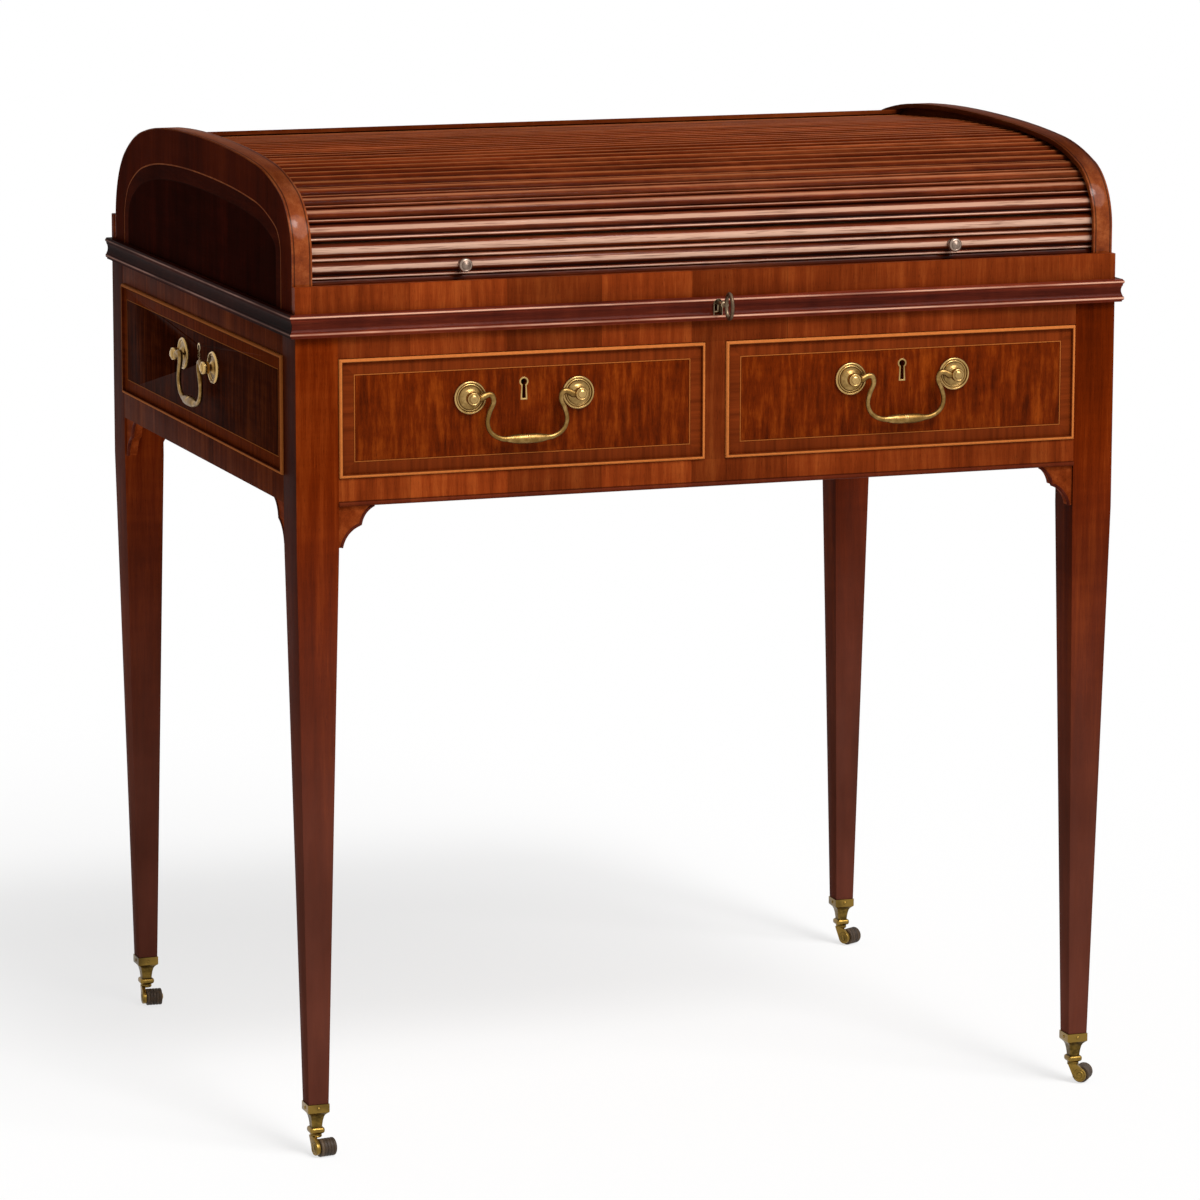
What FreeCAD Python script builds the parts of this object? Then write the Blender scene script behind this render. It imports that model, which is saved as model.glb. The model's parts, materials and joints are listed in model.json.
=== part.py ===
import FreeCAD, Part
import math
import os

# Tambour writing desk: a case on four tapered legs, a pull-out writing slide, two drawers,
# and a curtain of hinged slats that runs back over the desk and down behind the drawers.
# X runs to the right, Y runs from the front to the back, Z runs up from the floor.

os.makedirs("parts", exist_ok=True)
V = FreeCAD.Vector

# Case
case_width = 806.0
case_depth = 632.0
leg_width = 40.0
leg_foot_width = 19.2
muntin_width = 19.6
rail_depth = 22.0
side_thickness = 12.0
back_thickness = 12.0
back_inset = 8.0
rear_rail_depth = 15.0

# Heights, stacked from the floor upwards
cup_top = 50.3
rail_foot = 608.5
leg_square_drop = 40.5
bottom_rail_height = 25.3
drawer_opening = 109.4
top_rail_height = 20.3
moulding_height = 21.3
front_rail_height = 24.1
rim_rise = 107.0

# Clearances
seat_gap = 0.3
drawer_gap = 0.6
journal_fit = 0.05
pin_sides = 10
mitre_gap = 0.15

# Moulding section
moulding_reach = 7.0
moulding_low_step = 0.3
moulding_neck = 5.8
moulding_fillet = 5.2
moulding_hollow = 4.4
moulding_margin = 5.0

# Front rail bead and corner brackets
bead_height = 4.2
bead_reach = 1.8
bracket_reach = 34.0
bracket_drop = 38.0
bracket_depth = 12.0
bracket_setback = 2.0
bracket_toe = 3.0
bracket_cusp_shares = (0.62, 0.45)
bracket_upper_bend_shares = (0.745, 0.18)
bracket_lower_bend_shares = (0.27, 0.655)

# Drawer runners, bearers of the slide and dust boards
runner_width = 46.0
runner_thickness = 15.8
guide_height = 16.0
guide_gap = 1.4
bearer_width = 46.0
middle_bearer_width = 40.0
middle_runner_width = 60.0
runner_back_inset = 120.0
bearer_back_inset = 147.0
dust_thickness = 6.0

# End panels
panel_thickness = 19.0
panel_front = 8.3
panel_back_inset = 15.5
recess_depth = 6.0
lip_thickness = 4.6
rim_straight_rise = 26.0
rim_front_run = 150.0
rim_back_run = 202.0
rim_front_point_shares = ((0.1533, 0.598), (0.4133, 0.813), (1.0, 0.953))
rim_crest_shares = (0.4589, 1.0)
rim_back_point_shares = ((1.0, 0.967), (0.505, 0.822), (0.1733, 0.467))
rim_arcs = 9

# Rear cover and the strip it stands on
cover_reach = 145.0
cover_thickness = 4.0
cover_seat_inset = 29.0

# Pigeonhole nest
nest_front = 233.0
nest_back = 331.0
nest_rise = 74.0
nest_board = 6.0
nest_divider = 4.0
nest_lift = 3.0
nest_bays = 7

# Writing slide
lipping_depth = 8.0
backing_depth = 14.0
slide_side_gap = 0.8
slide_board_thickness = 18.0
slide_board_drop = 5.0
slide_board_inset = 167.0
leather_thickness = 1.5
leather_margin = 46.0
backing_foot_rise = 4.5

# Lock, bolt and key of the slide
lock_half_width = 26.0
lock_front = 9.0
lock_back = 21.2
lock_foot_rise = 5.5
lock_head_drop = 0.7
key_rise = 16.1
key_shank_radius = 1.8
key_tip = 18.4
bit_front = 11.0
bit_back = 16.0
bit_length = 7.0
bit_thickness = 2.2
lock_chamber_half = 8.4
lock_chamber_front = 10.6
lock_chamber_back = 16.4
bolt_half_width = 6.0
bolt_front = 17.0
bolt_back = 20.0
bolt_rise = 6.4
bolt_head_drop = 0.9
bow_centre_reach = 35.0
bow_height = 26.0
bow_depth = 20.0
bow_thickness = 3.0
bow_band = 3.4
key_collar_radius = 3.0
key_collar_length = 2.4
key_sides = 14
key_collar_reach = 22.0
notch_half_width = 7.2
notch_rise = 4.4
notch_front_wall = 1.5
slide_hole_height = 11.0

# Keyholes
keyhole_sides = 12
keyhole_radius = 2.9
keyhole_slot = 3.6
liner_radius = 4.2
liner_slot = 6.0
liner_drop = 16.4
liner_depth = 2.0
keyhole_drop = 15.2
moulding_notch_radius = 4.4
keyhole_eye_drop = 28.6

# Drawers
drawer_front_thickness = 20.0
cockbead_width = 3.2
cockbead_reach = 2.4
cockbead_depth = 9.0
cockbead_round = 1.1
drawer_side = 9.0
drawer_back_inset = 127.0
drawer_side_height = 98.0
drawer_bottom_thickness = 5.0
drawer_bottom_rise = 4.0
drawer_back_drop = 6.0
drawer_lock_half_width = 22.0
drawer_lock_height = 34.0
drawer_lock_thickness = 6.0

# Handles
handle_rise = 68.6
handle_half_span = 52.0
rose_radius = 15.6
rose_edge = 1.6
rose_rim_reach = 3.0
rose_rim_band = 3.0
rose_valley = 1.5
rose_dome_radius = 9.0
rose_dome_reach = 2.8
rose_sides = 10
post_neck_radius = 3.4
post_neck_start = 2.4
post_neck_end = 4.6
post_head_radius = 6.2
post_head_end = 14.4
post_tip_radius = 2.4
pivot_reach = 9.6
journal_radius = 1.85
journal_depth = 4.6
bail_radius = 2.5
bail_journal_end = 44.6
swan_points = (
    (-44.6, 0.0),
    (-39.5, 2.8),
    (-34.2, 2.6),
    (-32.4, -4.0),
    (-36.2, -13.0),
    (-38.2, -22.5),
    (-35.4, -31.0),
    (-28.0, -36.6),
    (-17.0, -38.6),
)
bail_drop = 38.6
bail_runs = 14
bail_sides = 6
bulge_half_length = 18.5
bulge_radius = 5.0
bulge_sides = 8
bulge_shares = ((-1.0, -0.1), (-0.35, 1.0), (0.35, 1.0), (1.0, -0.1))

# Casters
cup_width = 20.8
cup_collar = 8.4
tenon_width = 16.6
tenon_fit = 0.05
neck_sections = (
    (26.6, 9.8),
    (31.6, 10.3),
    (36.0, 12.0),
    (39.2, 14.2),
    (41.9, 18.8),
)
ring_width = 14.2
ring_foot = 21.3
ring_head = 27.0
ring_round = 2.4
disc_radius = 5.6
disc_foot = 19.5
disc_sides = 10
swivel_pin_radius = 2.5
swivel_pin_top = 39.4
swivel_hole_top = 40.0
head_foot = 17.5
arm_thickness = 3.6
arm_gap = 0.3
arm_top_front = 4.6
arm_top_back = 3.8
boss_radius = 6.6
boss_corner = 2.7
wheel_radius = 8.6
wheel_width = 15.6
wheel_shift = 6.2
wheel_sides = 16
wheel_shoulder = 1.6
axle_radius = 1.6
axle_nut_radius = 3.2
axle_nut_length = 1.4
trail = 8.0
trail_turns = {"front_left": 10.0, "front_right": 50.0, "back_left": -5.0, "back_right": 28.0}

# Tambour curtain: slat pitch along the canvas, slat section and the lie of each link
slat_pitch = 16.5
slat_end_gap = 0.6
slat_gap = 0.3
canvas_thickness = 1.0
canvas_margin = 12.0
canvas_gap = 0.3
slat_base = 4.0
reed_height = 3.6
reed_start = 4.6
slat_bead_end = 3.8
slat_bead_height = 1.5
foot_strip = 6.8
foot_front = 22.8
foot_sink = 3.6
tail_end_inset = 140.0
link_slat_counts = {"f1": 1, "f2": 1, "f3": 1, "f4": 1, "f5": 1, "f6": 3, "f7": 3,
                    "top": 1, "b1": 2, "b2": 2, "b3": 2, "b4": 2}
link_angles = {"f1": 64.0, "f2": 42.0, "f3": 28.0, "f4": 20.0, "f5": 14.0, "f6": 8.5, "f7": 4.0,
               "top": 0.0, "b1": 0.0, "b2": 0.0, "b3": -0.5, "b4": -1.0, "tail": -3.5}

# Curtain knobs
knob_offset = 240.5
knob_radius = 6.5
knob_neck_radius = 2.6
knob_foot_radius = 3.9
knob_length = 14.5
knob_foot_length = 1.6
knob_head_start = 7.2
knob_shank_radius = 2.0
knob_tip_radius = 0.8
knob_shank_depth = 4.0
knob_sides = 10
knob_slat_share = 0.63

# The floor point under the middle of everything the desk reaches to, front and back
key_reach = bow_centre_reach + bow_depth / 2
frame_middle = (case_depth - key_reach) / 2

# Heights and places that follow from the sizes above
taper_start = rail_foot - leg_square_drop
drawer_floor = rail_foot + bottom_rail_height
drawer_ceiling = drawer_floor + drawer_opening
case_top = drawer_ceiling + top_rail_height
slide_floor = case_top + moulding_height
rail_top = slide_floor + front_rail_height
half_width = case_width / 2
leg_inner = half_width - leg_width
side_inner = half_width - side_thickness
panel_back = case_depth - panel_back_inset
runner_back = case_depth - runner_back_inset
bearer_back = case_depth - bearer_back_inset
drawer_back = case_depth - drawer_back_inset
slide_board_back = case_depth - slide_board_inset
board_half_width = half_width - panel_thickness - slide_side_gap
board_top = rail_top - slide_board_drop
board_foot = board_top - slide_board_thickness
key_height = case_top + key_rise
lock_foot = case_top + lock_foot_rise
bolt_foot = slide_floor + bolt_rise
drawer_keyhole_height = drawer_ceiling - keyhole_eye_drop
handle_height = drawer_floor + handle_rise
slat_half_length = half_width - panel_thickness + recess_depth - slat_end_gap
canvas_half_width = half_width - panel_thickness - canvas_margin
slat_reach = slat_base + reed_height


def save(name, solids):
    group = Part.Compound(solids)
    group.translate(V(0, -frame_middle, 0))
    group.exportStep("parts/" + name + ".step")


def block(x0, x1, y0, y1, z0, z1):
    return Part.makeBox(x1 - x0, y1 - y0, z1 - z0, V(x0, y0, z0))


def pin(start, direction, radius, length):
    """A small round pin in flats, with its corners on the radius."""
    corners = []
    for i in range(pin_sides):
        angle = 2 * math.pi * (i + 0.5) / pin_sides
        corners.append(V(radius * math.cos(angle), radius * math.sin(angle), 0))
    solid = polygon_face(corners).extrude(V(0, 0, length))
    solid.Placement = FreeCAD.Placement(start, FreeCAD.Rotation(V(0, 0, 1), direction))
    return solid


def bore(start, direction, radius, length):
    """The round hole that a pin of this radius turns in, clear of its corners by the fit."""
    return Part.makeCylinder(radius + journal_fit, length, start, direction)


def socket(start, direction, radius, length):
    """A small hole in flats for a pin of this radius, clear of its corners by the fit."""
    return pin(start, direction, (radius + journal_fit) / math.cos(math.pi / pin_sides), length)


def mirror_x(shape):
    return shape.mirror(V(0, 0, 0), V(1, 0, 0))


def both_sides(shape):
    return [shape, mirror_x(shape)]


def polygon_face(points):
    return Part.Face(Part.makePolygon(points + [points[0]]))


def outline_wire(start, steps, place):
    """Lines and three-point arcs through plane points, placed in space by a function."""
    edges = []
    here = start
    for step in steps:
        if len(step) == 1:
            edges.append(Part.makeLine(place(*here), place(*step[0])))
        else:
            edges.append(Part.Arc(place(*here), place(*step[0]), place(*step[1])).toShape())
        here = step[-1]
    return Part.Wire(edges)


def turned(profile, sides, place):
    """A small turning in flat facets: a profile of (radius, distance) points carried round its axis."""
    rings = []
    for radius, along in profile:
        ring = []
        for i in range(sides):
            angle = 2 * math.pi * (i + 0.5) / sides
            ring.append(place(radius * math.cos(angle), radius * math.sin(angle), along))
        rings.append(ring)
    faces = [polygon_face(rings[0]), polygon_face(rings[-1])]
    for low, high in zip(rings, rings[1:]):
        for i in range(sides):
            j = (i + 1) % sides
            faces.append(polygon_face([low[i], low[j], high[j], high[i]]))
    return Part.Solid(Part.Shell(faces))


def frustum(cx, cy, low, high):
    """A square block between two (height, width) sections."""
    a = low[1] / 2
    b = high[1] / 2
    solid = Part.makeWedge(-a, low[0], -a, -b, -b, a, high[0], a, b, b)
    solid.rotate(V(0, 0, 0), V(1, 0, 0), 90)
    solid.translate(V(cx, cy, 0))
    return solid


def stacked(cx, cy, sections):
    pieces = [frustum(cx, cy, low, high) for low, high in zip(sections, sections[1:])]
    return pieces[0].fuse(pieces[1:])


# Legs
def leg(cx, cy):
    h = leg_width / 2
    upper = block(cx - h, cx + h, cy - h, cy + h, taper_start, case_top)
    taper = frustum(cx, cy, (cup_top, leg_foot_width), (taper_start, leg_width))
    t = tenon_width / 2
    tenon = block(cx - t, cx + t, cy - t, cy + t, cup_top - cup_collar, cup_top)
    return upper.fuse([taper, tenon]).removeSplitter()


# Front frame: top rail, beaded bottom rail and the muntin between the drawers
def bottom_rail(x0, x1):
    steps = [
        [(0, rail_foot)],
        [(-bead_reach, rail_foot + bead_height / 2), (0, rail_foot + bead_height)],
        [(0, drawer_floor)],
        [(rail_depth, drawer_floor)],
        [(rail_depth, rail_foot)],
    ]
    wire = outline_wire((rail_depth, rail_foot), steps, lambda y, z: V(x0, y, z))
    return Part.Face(wire).extrude(V(x1 - x0, 0, 0))


def front_rails():
    top = block(-leg_inner, leg_inner, 0, rail_depth, drawer_ceiling, case_top)
    m = muntin_width / 2
    muntin = block(-m, m, 0, rail_depth, drawer_floor, drawer_ceiling)
    return [top, bottom_rail(-leg_inner, leg_inner), muntin]


# Sides: bottom rail, top rail and the cap that carries the end panel
def side_rails():
    y1 = case_depth - leg_width
    low = block(side_inner, half_width, leg_width, y1, rail_foot, drawer_floor)
    high = block(side_inner, half_width, leg_width, y1, drawer_ceiling, case_top)
    cap = block(side_inner, half_width, panel_front, case_depth - rear_rail_depth, case_top, slide_floor)
    solids = []
    for piece in (low, high, cap):
        solids += both_sides(piece)
    return solids


def back_panel():
    y1 = case_depth - back_inset
    return [block(-leg_inner, leg_inner, y1 - back_thickness, y1, rail_foot, case_top)]


def rear_rail():
    y0 = case_depth - rear_rail_depth
    rail = block(-half_width, half_width, y0, case_depth, case_top, rail_top)
    s = half_width - panel_thickness
    seat = block(-s, s, case_depth - cover_seat_inset, y0, slide_floor, rail_top)
    return [rail, seat]


# Moulding: a top bead, a hollow and a bottom bead on a fillet, in section (reach, height)
def moulding_steps():
    rise = slide_floor - case_top
    low = case_top + rise * 0.05
    low_end = case_top + rise * 0.27
    hollow_end = case_top + rise * 0.74
    top_start = case_top + rise * 0.8
    top_end = case_top + rise * 0.97
    bevel = (low_end - low) / 4
    return [
        [(moulding_fillet, case_top)],
        [(moulding_fillet, low)],
        [(moulding_reach - moulding_low_step, low + bevel)],
        [(moulding_reach - moulding_low_step, low_end - bevel)],
        [(moulding_fillet, low_end)],
        [(moulding_neck, low_end)],
        [(moulding_hollow, (low_end + hollow_end) / 2), (moulding_neck, hollow_end)],
        [(moulding_neck, top_start)],
        [(moulding_reach, (top_start + top_end) / 2), (moulding_neck, top_end)],
        [(moulding_neck, slide_floor)],
        [(0, slide_floor)],
        [(0, case_top)],
    ]


def mitre_region(points):
    base = [V(x, y, case_top) for x, y in points]
    return polygon_face(base).extrude(V(0, 0, slide_floor - case_top))


def side_moulding():
    m = moulding_reach + moulding_margin
    wire = outline_wire((0, case_top), moulding_steps(), lambda d, z: V(half_width + d, -m, z))
    strip = Part.Face(wire).extrude(V(0, case_depth + m, 0))
    region = mitre_region([(half_width, mitre_gap), (half_width + m, mitre_gap - m),
                           (half_width + m, case_depth), (half_width, case_depth)])
    return strip.common(region)


def front_moulding():
    m = moulding_reach + moulding_margin
    x0 = -half_width - m
    wire = outline_wire((0, case_top), moulding_steps(), lambda d, z: V(x0, -d, z))
    strip = Part.Face(wire).extrude(V(2 * (half_width + m), 0, 0))
    g = mitre_gap
    region = mitre_region([(-half_width + g, 0), (-half_width - m + g, -m),
                           (half_width + m - g, -m), (half_width - g, 0)])
    return strip.common(region)


# Corner brackets with a cusp between two hollows
def bracket(place, push):
    def at(shares):
        return (bracket_reach * shares[0], -bracket_drop * shares[1])
    steps = [
        [(bracket_reach, 0)],
        [at(bracket_upper_bend_shares), at(bracket_cusp_shares)],
        [at(bracket_lower_bend_shares), (bracket_toe, -bracket_drop)],
        [(0, -bracket_drop)],
        [(0, 0)],
    ]
    wire = outline_wire((0, 0), steps, place)
    return Part.Face(wire).extrude(push)


def corner_brackets():
    s = bracket_setback
    inner = half_width - leg_width
    rear = case_depth - leg_width
    front_one = bracket(lambda u, v: V(inner - u, s, rail_foot + v), V(0, bracket_depth, 0))
    back_y = case_depth - back_inset
    back_one = bracket(lambda u, v: V(inner - u, back_y, rail_foot + v), V(0, -bracket_depth, 0))
    side_x = half_width - s
    side_front = bracket(lambda u, v: V(side_x, leg_width + u, rail_foot + v), V(s - side_thickness, 0, 0))
    side_back = bracket(lambda u, v: V(side_x, rear - u, rail_foot + v), V(s - side_thickness, 0, 0))
    solids = []
    for piece in (front_one, back_one, side_front, side_back):
        solids += both_sides(piece)
    return solids


# Inside the case: drawer runners with guides, bearers of the slide, dust boards and the floor of the well
def case_runners():
    rear = case_depth - leg_width
    foot = drawer_floor - runner_thickness
    x0 = side_inner - runner_width
    runner = block(x0, side_inner, leg_width, rear, foot, drawer_floor)
    guide = block(leg_inner + guide_gap, side_inner, leg_width, runner_back, drawer_floor, drawer_floor + guide_height)
    side = runner.fuse(guide).removeSplitter()
    m = middle_runner_width / 2
    back = case_depth - back_inset - back_thickness
    middle = block(-m, m, rail_depth, back, foot, drawer_floor)
    rib = block(-muntin_width / 2, muntin_width / 2, rail_depth, runner_back, drawer_floor, drawer_floor + guide_height)
    bearer_top = board_foot - seat_gap
    b0 = side_inner - bearer_width
    bearer = block(b0, side_inner, leg_width, bearer_back, drawer_ceiling, slide_floor)
    track = block(b0, board_half_width, leg_width, bearer_back, slide_floor, bearer_top)
    n = middle_bearer_width / 2
    middle_bearer = block(-n, n, rail_depth, bearer_back, drawer_ceiling, case_top)
    dust = block(n, b0, rail_depth, bearer_back, case_top - dust_thickness, case_top)
    well_floor = block(-leg_inner, leg_inner, runner_back, back, drawer_floor, drawer_floor + dust_thickness)
    solids = [middle.fuse(rib).removeSplitter(), middle_bearer, well_floor]
    for piece in (side, bearer.fuse(track).removeSplitter(), dust):
        solids += both_sides(piece)
    return solids


# End panels: outline of the rim, and curves that run inside it at a constant distance
def rim_curve():
    points = [V(0, panel_front, rail_top + rim_straight_rise)]
    for y_share, z_share in rim_front_point_shares:
        points.append(V(0, y_share * rim_front_run, rail_top + z_share * rim_rise))
    points.append(V(0, rim_crest_shares[0] * case_depth, rail_top + rim_crest_shares[1] * rim_rise))
    for y_share, z_share in rim_back_point_shares:
        points.append(V(0, case_depth - y_share * rim_back_run, rail_top + z_share * rim_rise))
    points.append(V(0, panel_back, rail_top))
    curve = Part.BSplineCurve()
    curve.interpolate(points, InitialTangent=V(0, 0, 1), FinalTangent=V(0, 0, -1), Scale=False)
    return curve


def inset_point(curve, t, inset):
    tangent = curve.tangent(t)[0]
    return curve.value(t) + V(0, tangent.z, -tangent.y) * inset


def arc_chain(points):
    """Arcs through every second point, each bent through the point between."""
    return [Part.Arc(a, b, c).toShape() for a, b, c in zip(points[0:-2:2], points[1:-1:2], points[2::2])]


def rim_points(inset):
    curve = rim_curve()
    start, end = curve.FirstParameter, curve.LastParameter
    count = 2 * rim_arcs
    return [inset_point(curve, start + (end - start) * i / count, inset) for i in range(count + 1)]


def arched_face(inset, foot):
    """A face in the plane X = 0 under the rim, drawn in by the inset, down to the foot."""
    points = rim_points(inset)
    low_first = V(0, points[0].y, foot)
    low_last = V(0, points[-1].y, foot)
    edges = arc_chain(points)
    edges.append(Part.makeLine(points[-1], low_last))
    edges.append(Part.makeLine(low_last, low_first))
    edges.append(Part.makeLine(low_first, points[0]))
    return Part.Face(Part.Wire(edges))


def end_panel():
    outer = arched_face(0, slide_floor).extrude(V(panel_thickness, 0, 0))
    recess = arched_face(lip_thickness, slide_floor - moulding_margin).extrude(V(recess_depth, 0, 0))
    panel = outer.cut(recess)
    panel.translate(V(half_width - panel_thickness, 0, 0))
    return panel


def rear_cover():
    """A bent board under the rim at the back, from the cover's front edge down to its seat."""
    x = half_width - panel_thickness + recess_depth
    outer = arched_face(lip_thickness, slide_floor).extrude(V(2 * x, 0, 0))
    inner = arched_face(lip_thickness + cover_thickness, slide_floor).extrude(V(2 * x, 0, 0))
    bent = outer.cut(inner)
    bent.translate(V(-x, 0, 0))
    return bent.common(block(-x, x, case_depth - cover_reach, case_depth, rail_top, rail_top + rim_rise))


# Pigeonhole nest: top, bottom, back, ends and upright dividers
def pigeonhole_nest():
    x = half_width - panel_thickness + recess_depth
    z0 = board_top + nest_lift
    z1 = rail_top + nest_rise
    inner_low = z0 + nest_board
    inner_high = z1 - nest_board
    solids = [
        block(-x, x, nest_front, nest_back, z0, inner_low),
        block(-x, x, nest_front, nest_back, inner_high, z1),
        block(-x, x, nest_back - nest_board, nest_back, inner_low, inner_high),
    ]
    depth_end = nest_back - nest_board
    solids += both_sides(block(x - nest_board, x, nest_front, depth_end, inner_low, inner_high))
    bay = 2 * (x - nest_board) / nest_bays
    for i in range(1, nest_bays):
        at = -x + nest_board + bay * i
        solids.append(block(at - nest_divider / 2, at + nest_divider / 2, nest_front, depth_end, inner_low, inner_high))
    return solids


# Keyhole outline: a round eye over a slot, in a plane that faces the front
def keyhole(cx, cz, y, radius, slot, drop, depth):
    eye = turned([(radius, y), (radius, y + depth)], keyhole_sides, lambda a, b, out: V(cx + a, out, cz + b))
    leg_of_slot = block(cx - slot / 2, cx + slot / 2, y, y + depth, cz - drop, cz)
    return eye.fuse(leg_of_slot).removeSplitter()


# Writing slide
def slide_front():
    s = board_half_width
    lipping = block(-half_width, half_width, 0, lipping_depth, case_top + seat_gap, rail_top)
    backing_foot = case_top + backing_foot_rise
    y1 = lipping_depth + backing_depth
    backing = block(-s, s, lipping_depth, y1, backing_foot, board_top)
    pocket = block(-lock_half_width, lock_half_width, lock_front, lock_back, lock_foot, board_top)
    hole = keyhole(0, key_height, 0, keyhole_radius, keyhole_slot, slide_hole_height, lock_front)
    return [lipping.cut(hole), backing.cut(pocket.fuse(hole))]


def slide_moulding():
    r = moulding_notch_radius
    hole = keyhole(0, key_height - r * 0.1, -moulding_reach, r, 2 * r, slide_hole_height, moulding_reach)
    return front_moulding().cut(hole)


def leather_block():
    s = board_half_width - leather_margin
    y0 = lipping_depth + backing_depth + leather_margin
    y1 = slide_board_back - leather_margin
    return block(-s, s, y0, y1, board_top - leather_thickness, board_top)


def slide_board():
    s = board_half_width
    y0 = lipping_depth + backing_depth
    return block(-s, s, y0, slide_board_back, board_foot, board_top).cut(leather_block())


def slide_lock():
    head = board_top - lock_head_drop
    case = block(-lock_half_width, lock_half_width, lock_front, lock_back, lock_foot, head)
    c = lock_chamber_half
    chamber = block(-c, c, lock_chamber_front, lock_chamber_back, key_height - c, key_height + c)
    hole = bore(V(0, lock_front, key_height), V(0, 1, 0), key_shank_radius, lock_back - lock_front)
    slot = block(-keyhole_slot / 2, keyhole_slot / 2, lock_front, lock_chamber_front,
                 key_height - slide_hole_height + keyhole_radius, key_height)
    f = 2 * journal_fit
    channel = block(-bolt_half_width - f, bolt_half_width + f, bolt_front - f, bolt_back + f, bolt_foot - f, head)
    return case.cut(chamber.fuse([hole, slot, channel]))


def lock_bolt():
    return block(-bolt_half_width, bolt_half_width, bolt_front, bolt_back, bolt_foot, board_top - bolt_head_drop)


def bow_face(inset):
    """The oval of the key's bow, drawn in by the inset."""
    points = []
    for i in range(key_sides):
        angle = 2 * math.pi * i / key_sides
        y = (bow_depth / 2 - inset) * math.cos(angle) - bow_centre_reach
        z = (bow_height / 2 - inset) * math.sin(angle) + key_height
        points.append(V(-bow_thickness / 2, y, z))
    return polygon_face(points)


def key():
    start = -bow_centre_reach + bow_depth / 2
    shank = pin(V(0, start - bow_band / 2, key_height), V(0, 1, 0), key_shank_radius, key_tip - start + bow_band / 2)
    collar = turned([(key_collar_radius, -key_collar_reach), (key_collar_radius, key_collar_length - key_collar_reach)],
                    key_sides, lambda a, b, y: V(a, y, key_height + b))
    bit = block(-bit_thickness / 2, bit_thickness / 2, bit_front, bit_back, key_height - bit_length, key_height)
    bow = bow_face(0).cut(bow_face(bow_band)).extrude(V(bow_thickness, 0, 0))
    return shank.fuse([collar, bit, bow]).removeSplitter()


# Drawers
def drawer_span():
    return (-leg_inner + drawer_gap, -muntin_width / 2 - drawer_gap)


def cockbead(x0, x1, z0, z1, y):
    w = cockbead_width
    outer = block(x0, x1, y - cockbead_reach, y + cockbead_depth, z0, z1)
    rounded = outer.makeChamfer(cockbead_round, [e for e in outer.Edges if e.BoundBox.YMax < y])
    inner = block(x0 + w, x1 - w, y - cockbead_reach, y + cockbead_depth, z0 + w, z1 - w)
    return rounded.cut(inner)


def beaded_front(x0, x1, z0, z1, y, thickness):
    board = block(x0, x1, y, y + thickness, z0, z1)
    bead = cockbead(x0, x1, z0, z1, y)
    w = cockbead_width
    rebate = block(x0, x1, y, y + cockbead_depth, z0, z1).cut(
        block(x0 + w, x1 - w, y, y + cockbead_depth, z0 + w, z1 - w))
    return board.cut(rebate), bead


def drawer_front():
    x0, x1 = drawer_span()
    z0 = drawer_floor + drawer_gap
    z1 = drawer_ceiling - drawer_gap
    board, bead = beaded_front(x0, x1, z0, z1, 0, drawer_front_thickness)
    cx = (x0 + x1) / 2
    liner = keyhole(cx, drawer_keyhole_height, 0, liner_radius, liner_slot, liner_drop, liner_depth)
    hole = keyhole(cx, drawer_keyhole_height, 0, keyhole_radius, keyhole_slot, keyhole_drop, drawer_front_thickness)
    return [board.cut(liner.fuse(hole)), bead]


def drawer_box():
    x0, x1 = drawer_span()
    z0 = drawer_floor + drawer_gap
    z1 = z0 + drawer_side_height
    y0 = drawer_front_thickness
    left = block(x0, x0 + drawer_side, y0, drawer_back, z0, z1)
    right = block(x1 - drawer_side, x1, y0, drawer_back, z0, z1)
    floor_low = z0 + drawer_bottom_rise
    floor_high = floor_low + drawer_bottom_thickness
    bottom = block(x0 + drawer_side, x1 - drawer_side, y0, drawer_back, floor_low, floor_high)
    back = block(x0 + drawer_side, x1 - drawer_side, drawer_back - drawer_side, drawer_back,
                 floor_high, z1 - drawer_back_drop)
    return [left, right, bottom, back]


# Handles: rose and turned post in one casting, and the swan-neck bail between two of them
def rose_and_post():
    r = rose_radius
    head_bend = (post_head_end - post_neck_end) / 4
    profile = [
        (r, 0),
        (r, rose_edge),
        (r - rose_rim_band * 0.5, rose_rim_reach),
        (r - rose_rim_band, rose_valley),
        (rose_dome_radius, rose_dome_reach),
        (post_neck_radius, post_neck_start),
        (post_neck_radius, post_neck_end),
        (post_head_radius, post_neck_end + head_bend),
        (post_head_radius, post_head_end - head_bend),
        (post_tip_radius, post_head_end),
    ]
    return turned(profile, rose_sides, lambda a, b, out: V(a, -out, b))


def handle_posts():
    left = rose_and_post()
    blind = journal_depth - bail_radius
    hole = socket(V(-blind, -pivot_reach, 0), V(1, 0, 0), journal_radius, post_head_radius + journal_depth)
    left = left.cut(hole)
    left.translate(V(-handle_half_span, 0, 0))
    return [left, mirror_x(left)]


def bail_path():
    """The swan-neck line in short straight runs, taken from one smooth curve."""
    left = [V(u, -pivot_reach, v) for u, v in swan_points]
    right = [V(-u, -pivot_reach, v) for u, v in reversed(swan_points)]
    curve = Part.BSplineCurve()
    curve.interpolate(left + right, InitialTangent=V(1, 0, 0), FinalTangent=V(1, 0, 0), Scale=False)
    return Part.makePolygon(curve.discretize(Number=bail_runs + 1))


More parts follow.
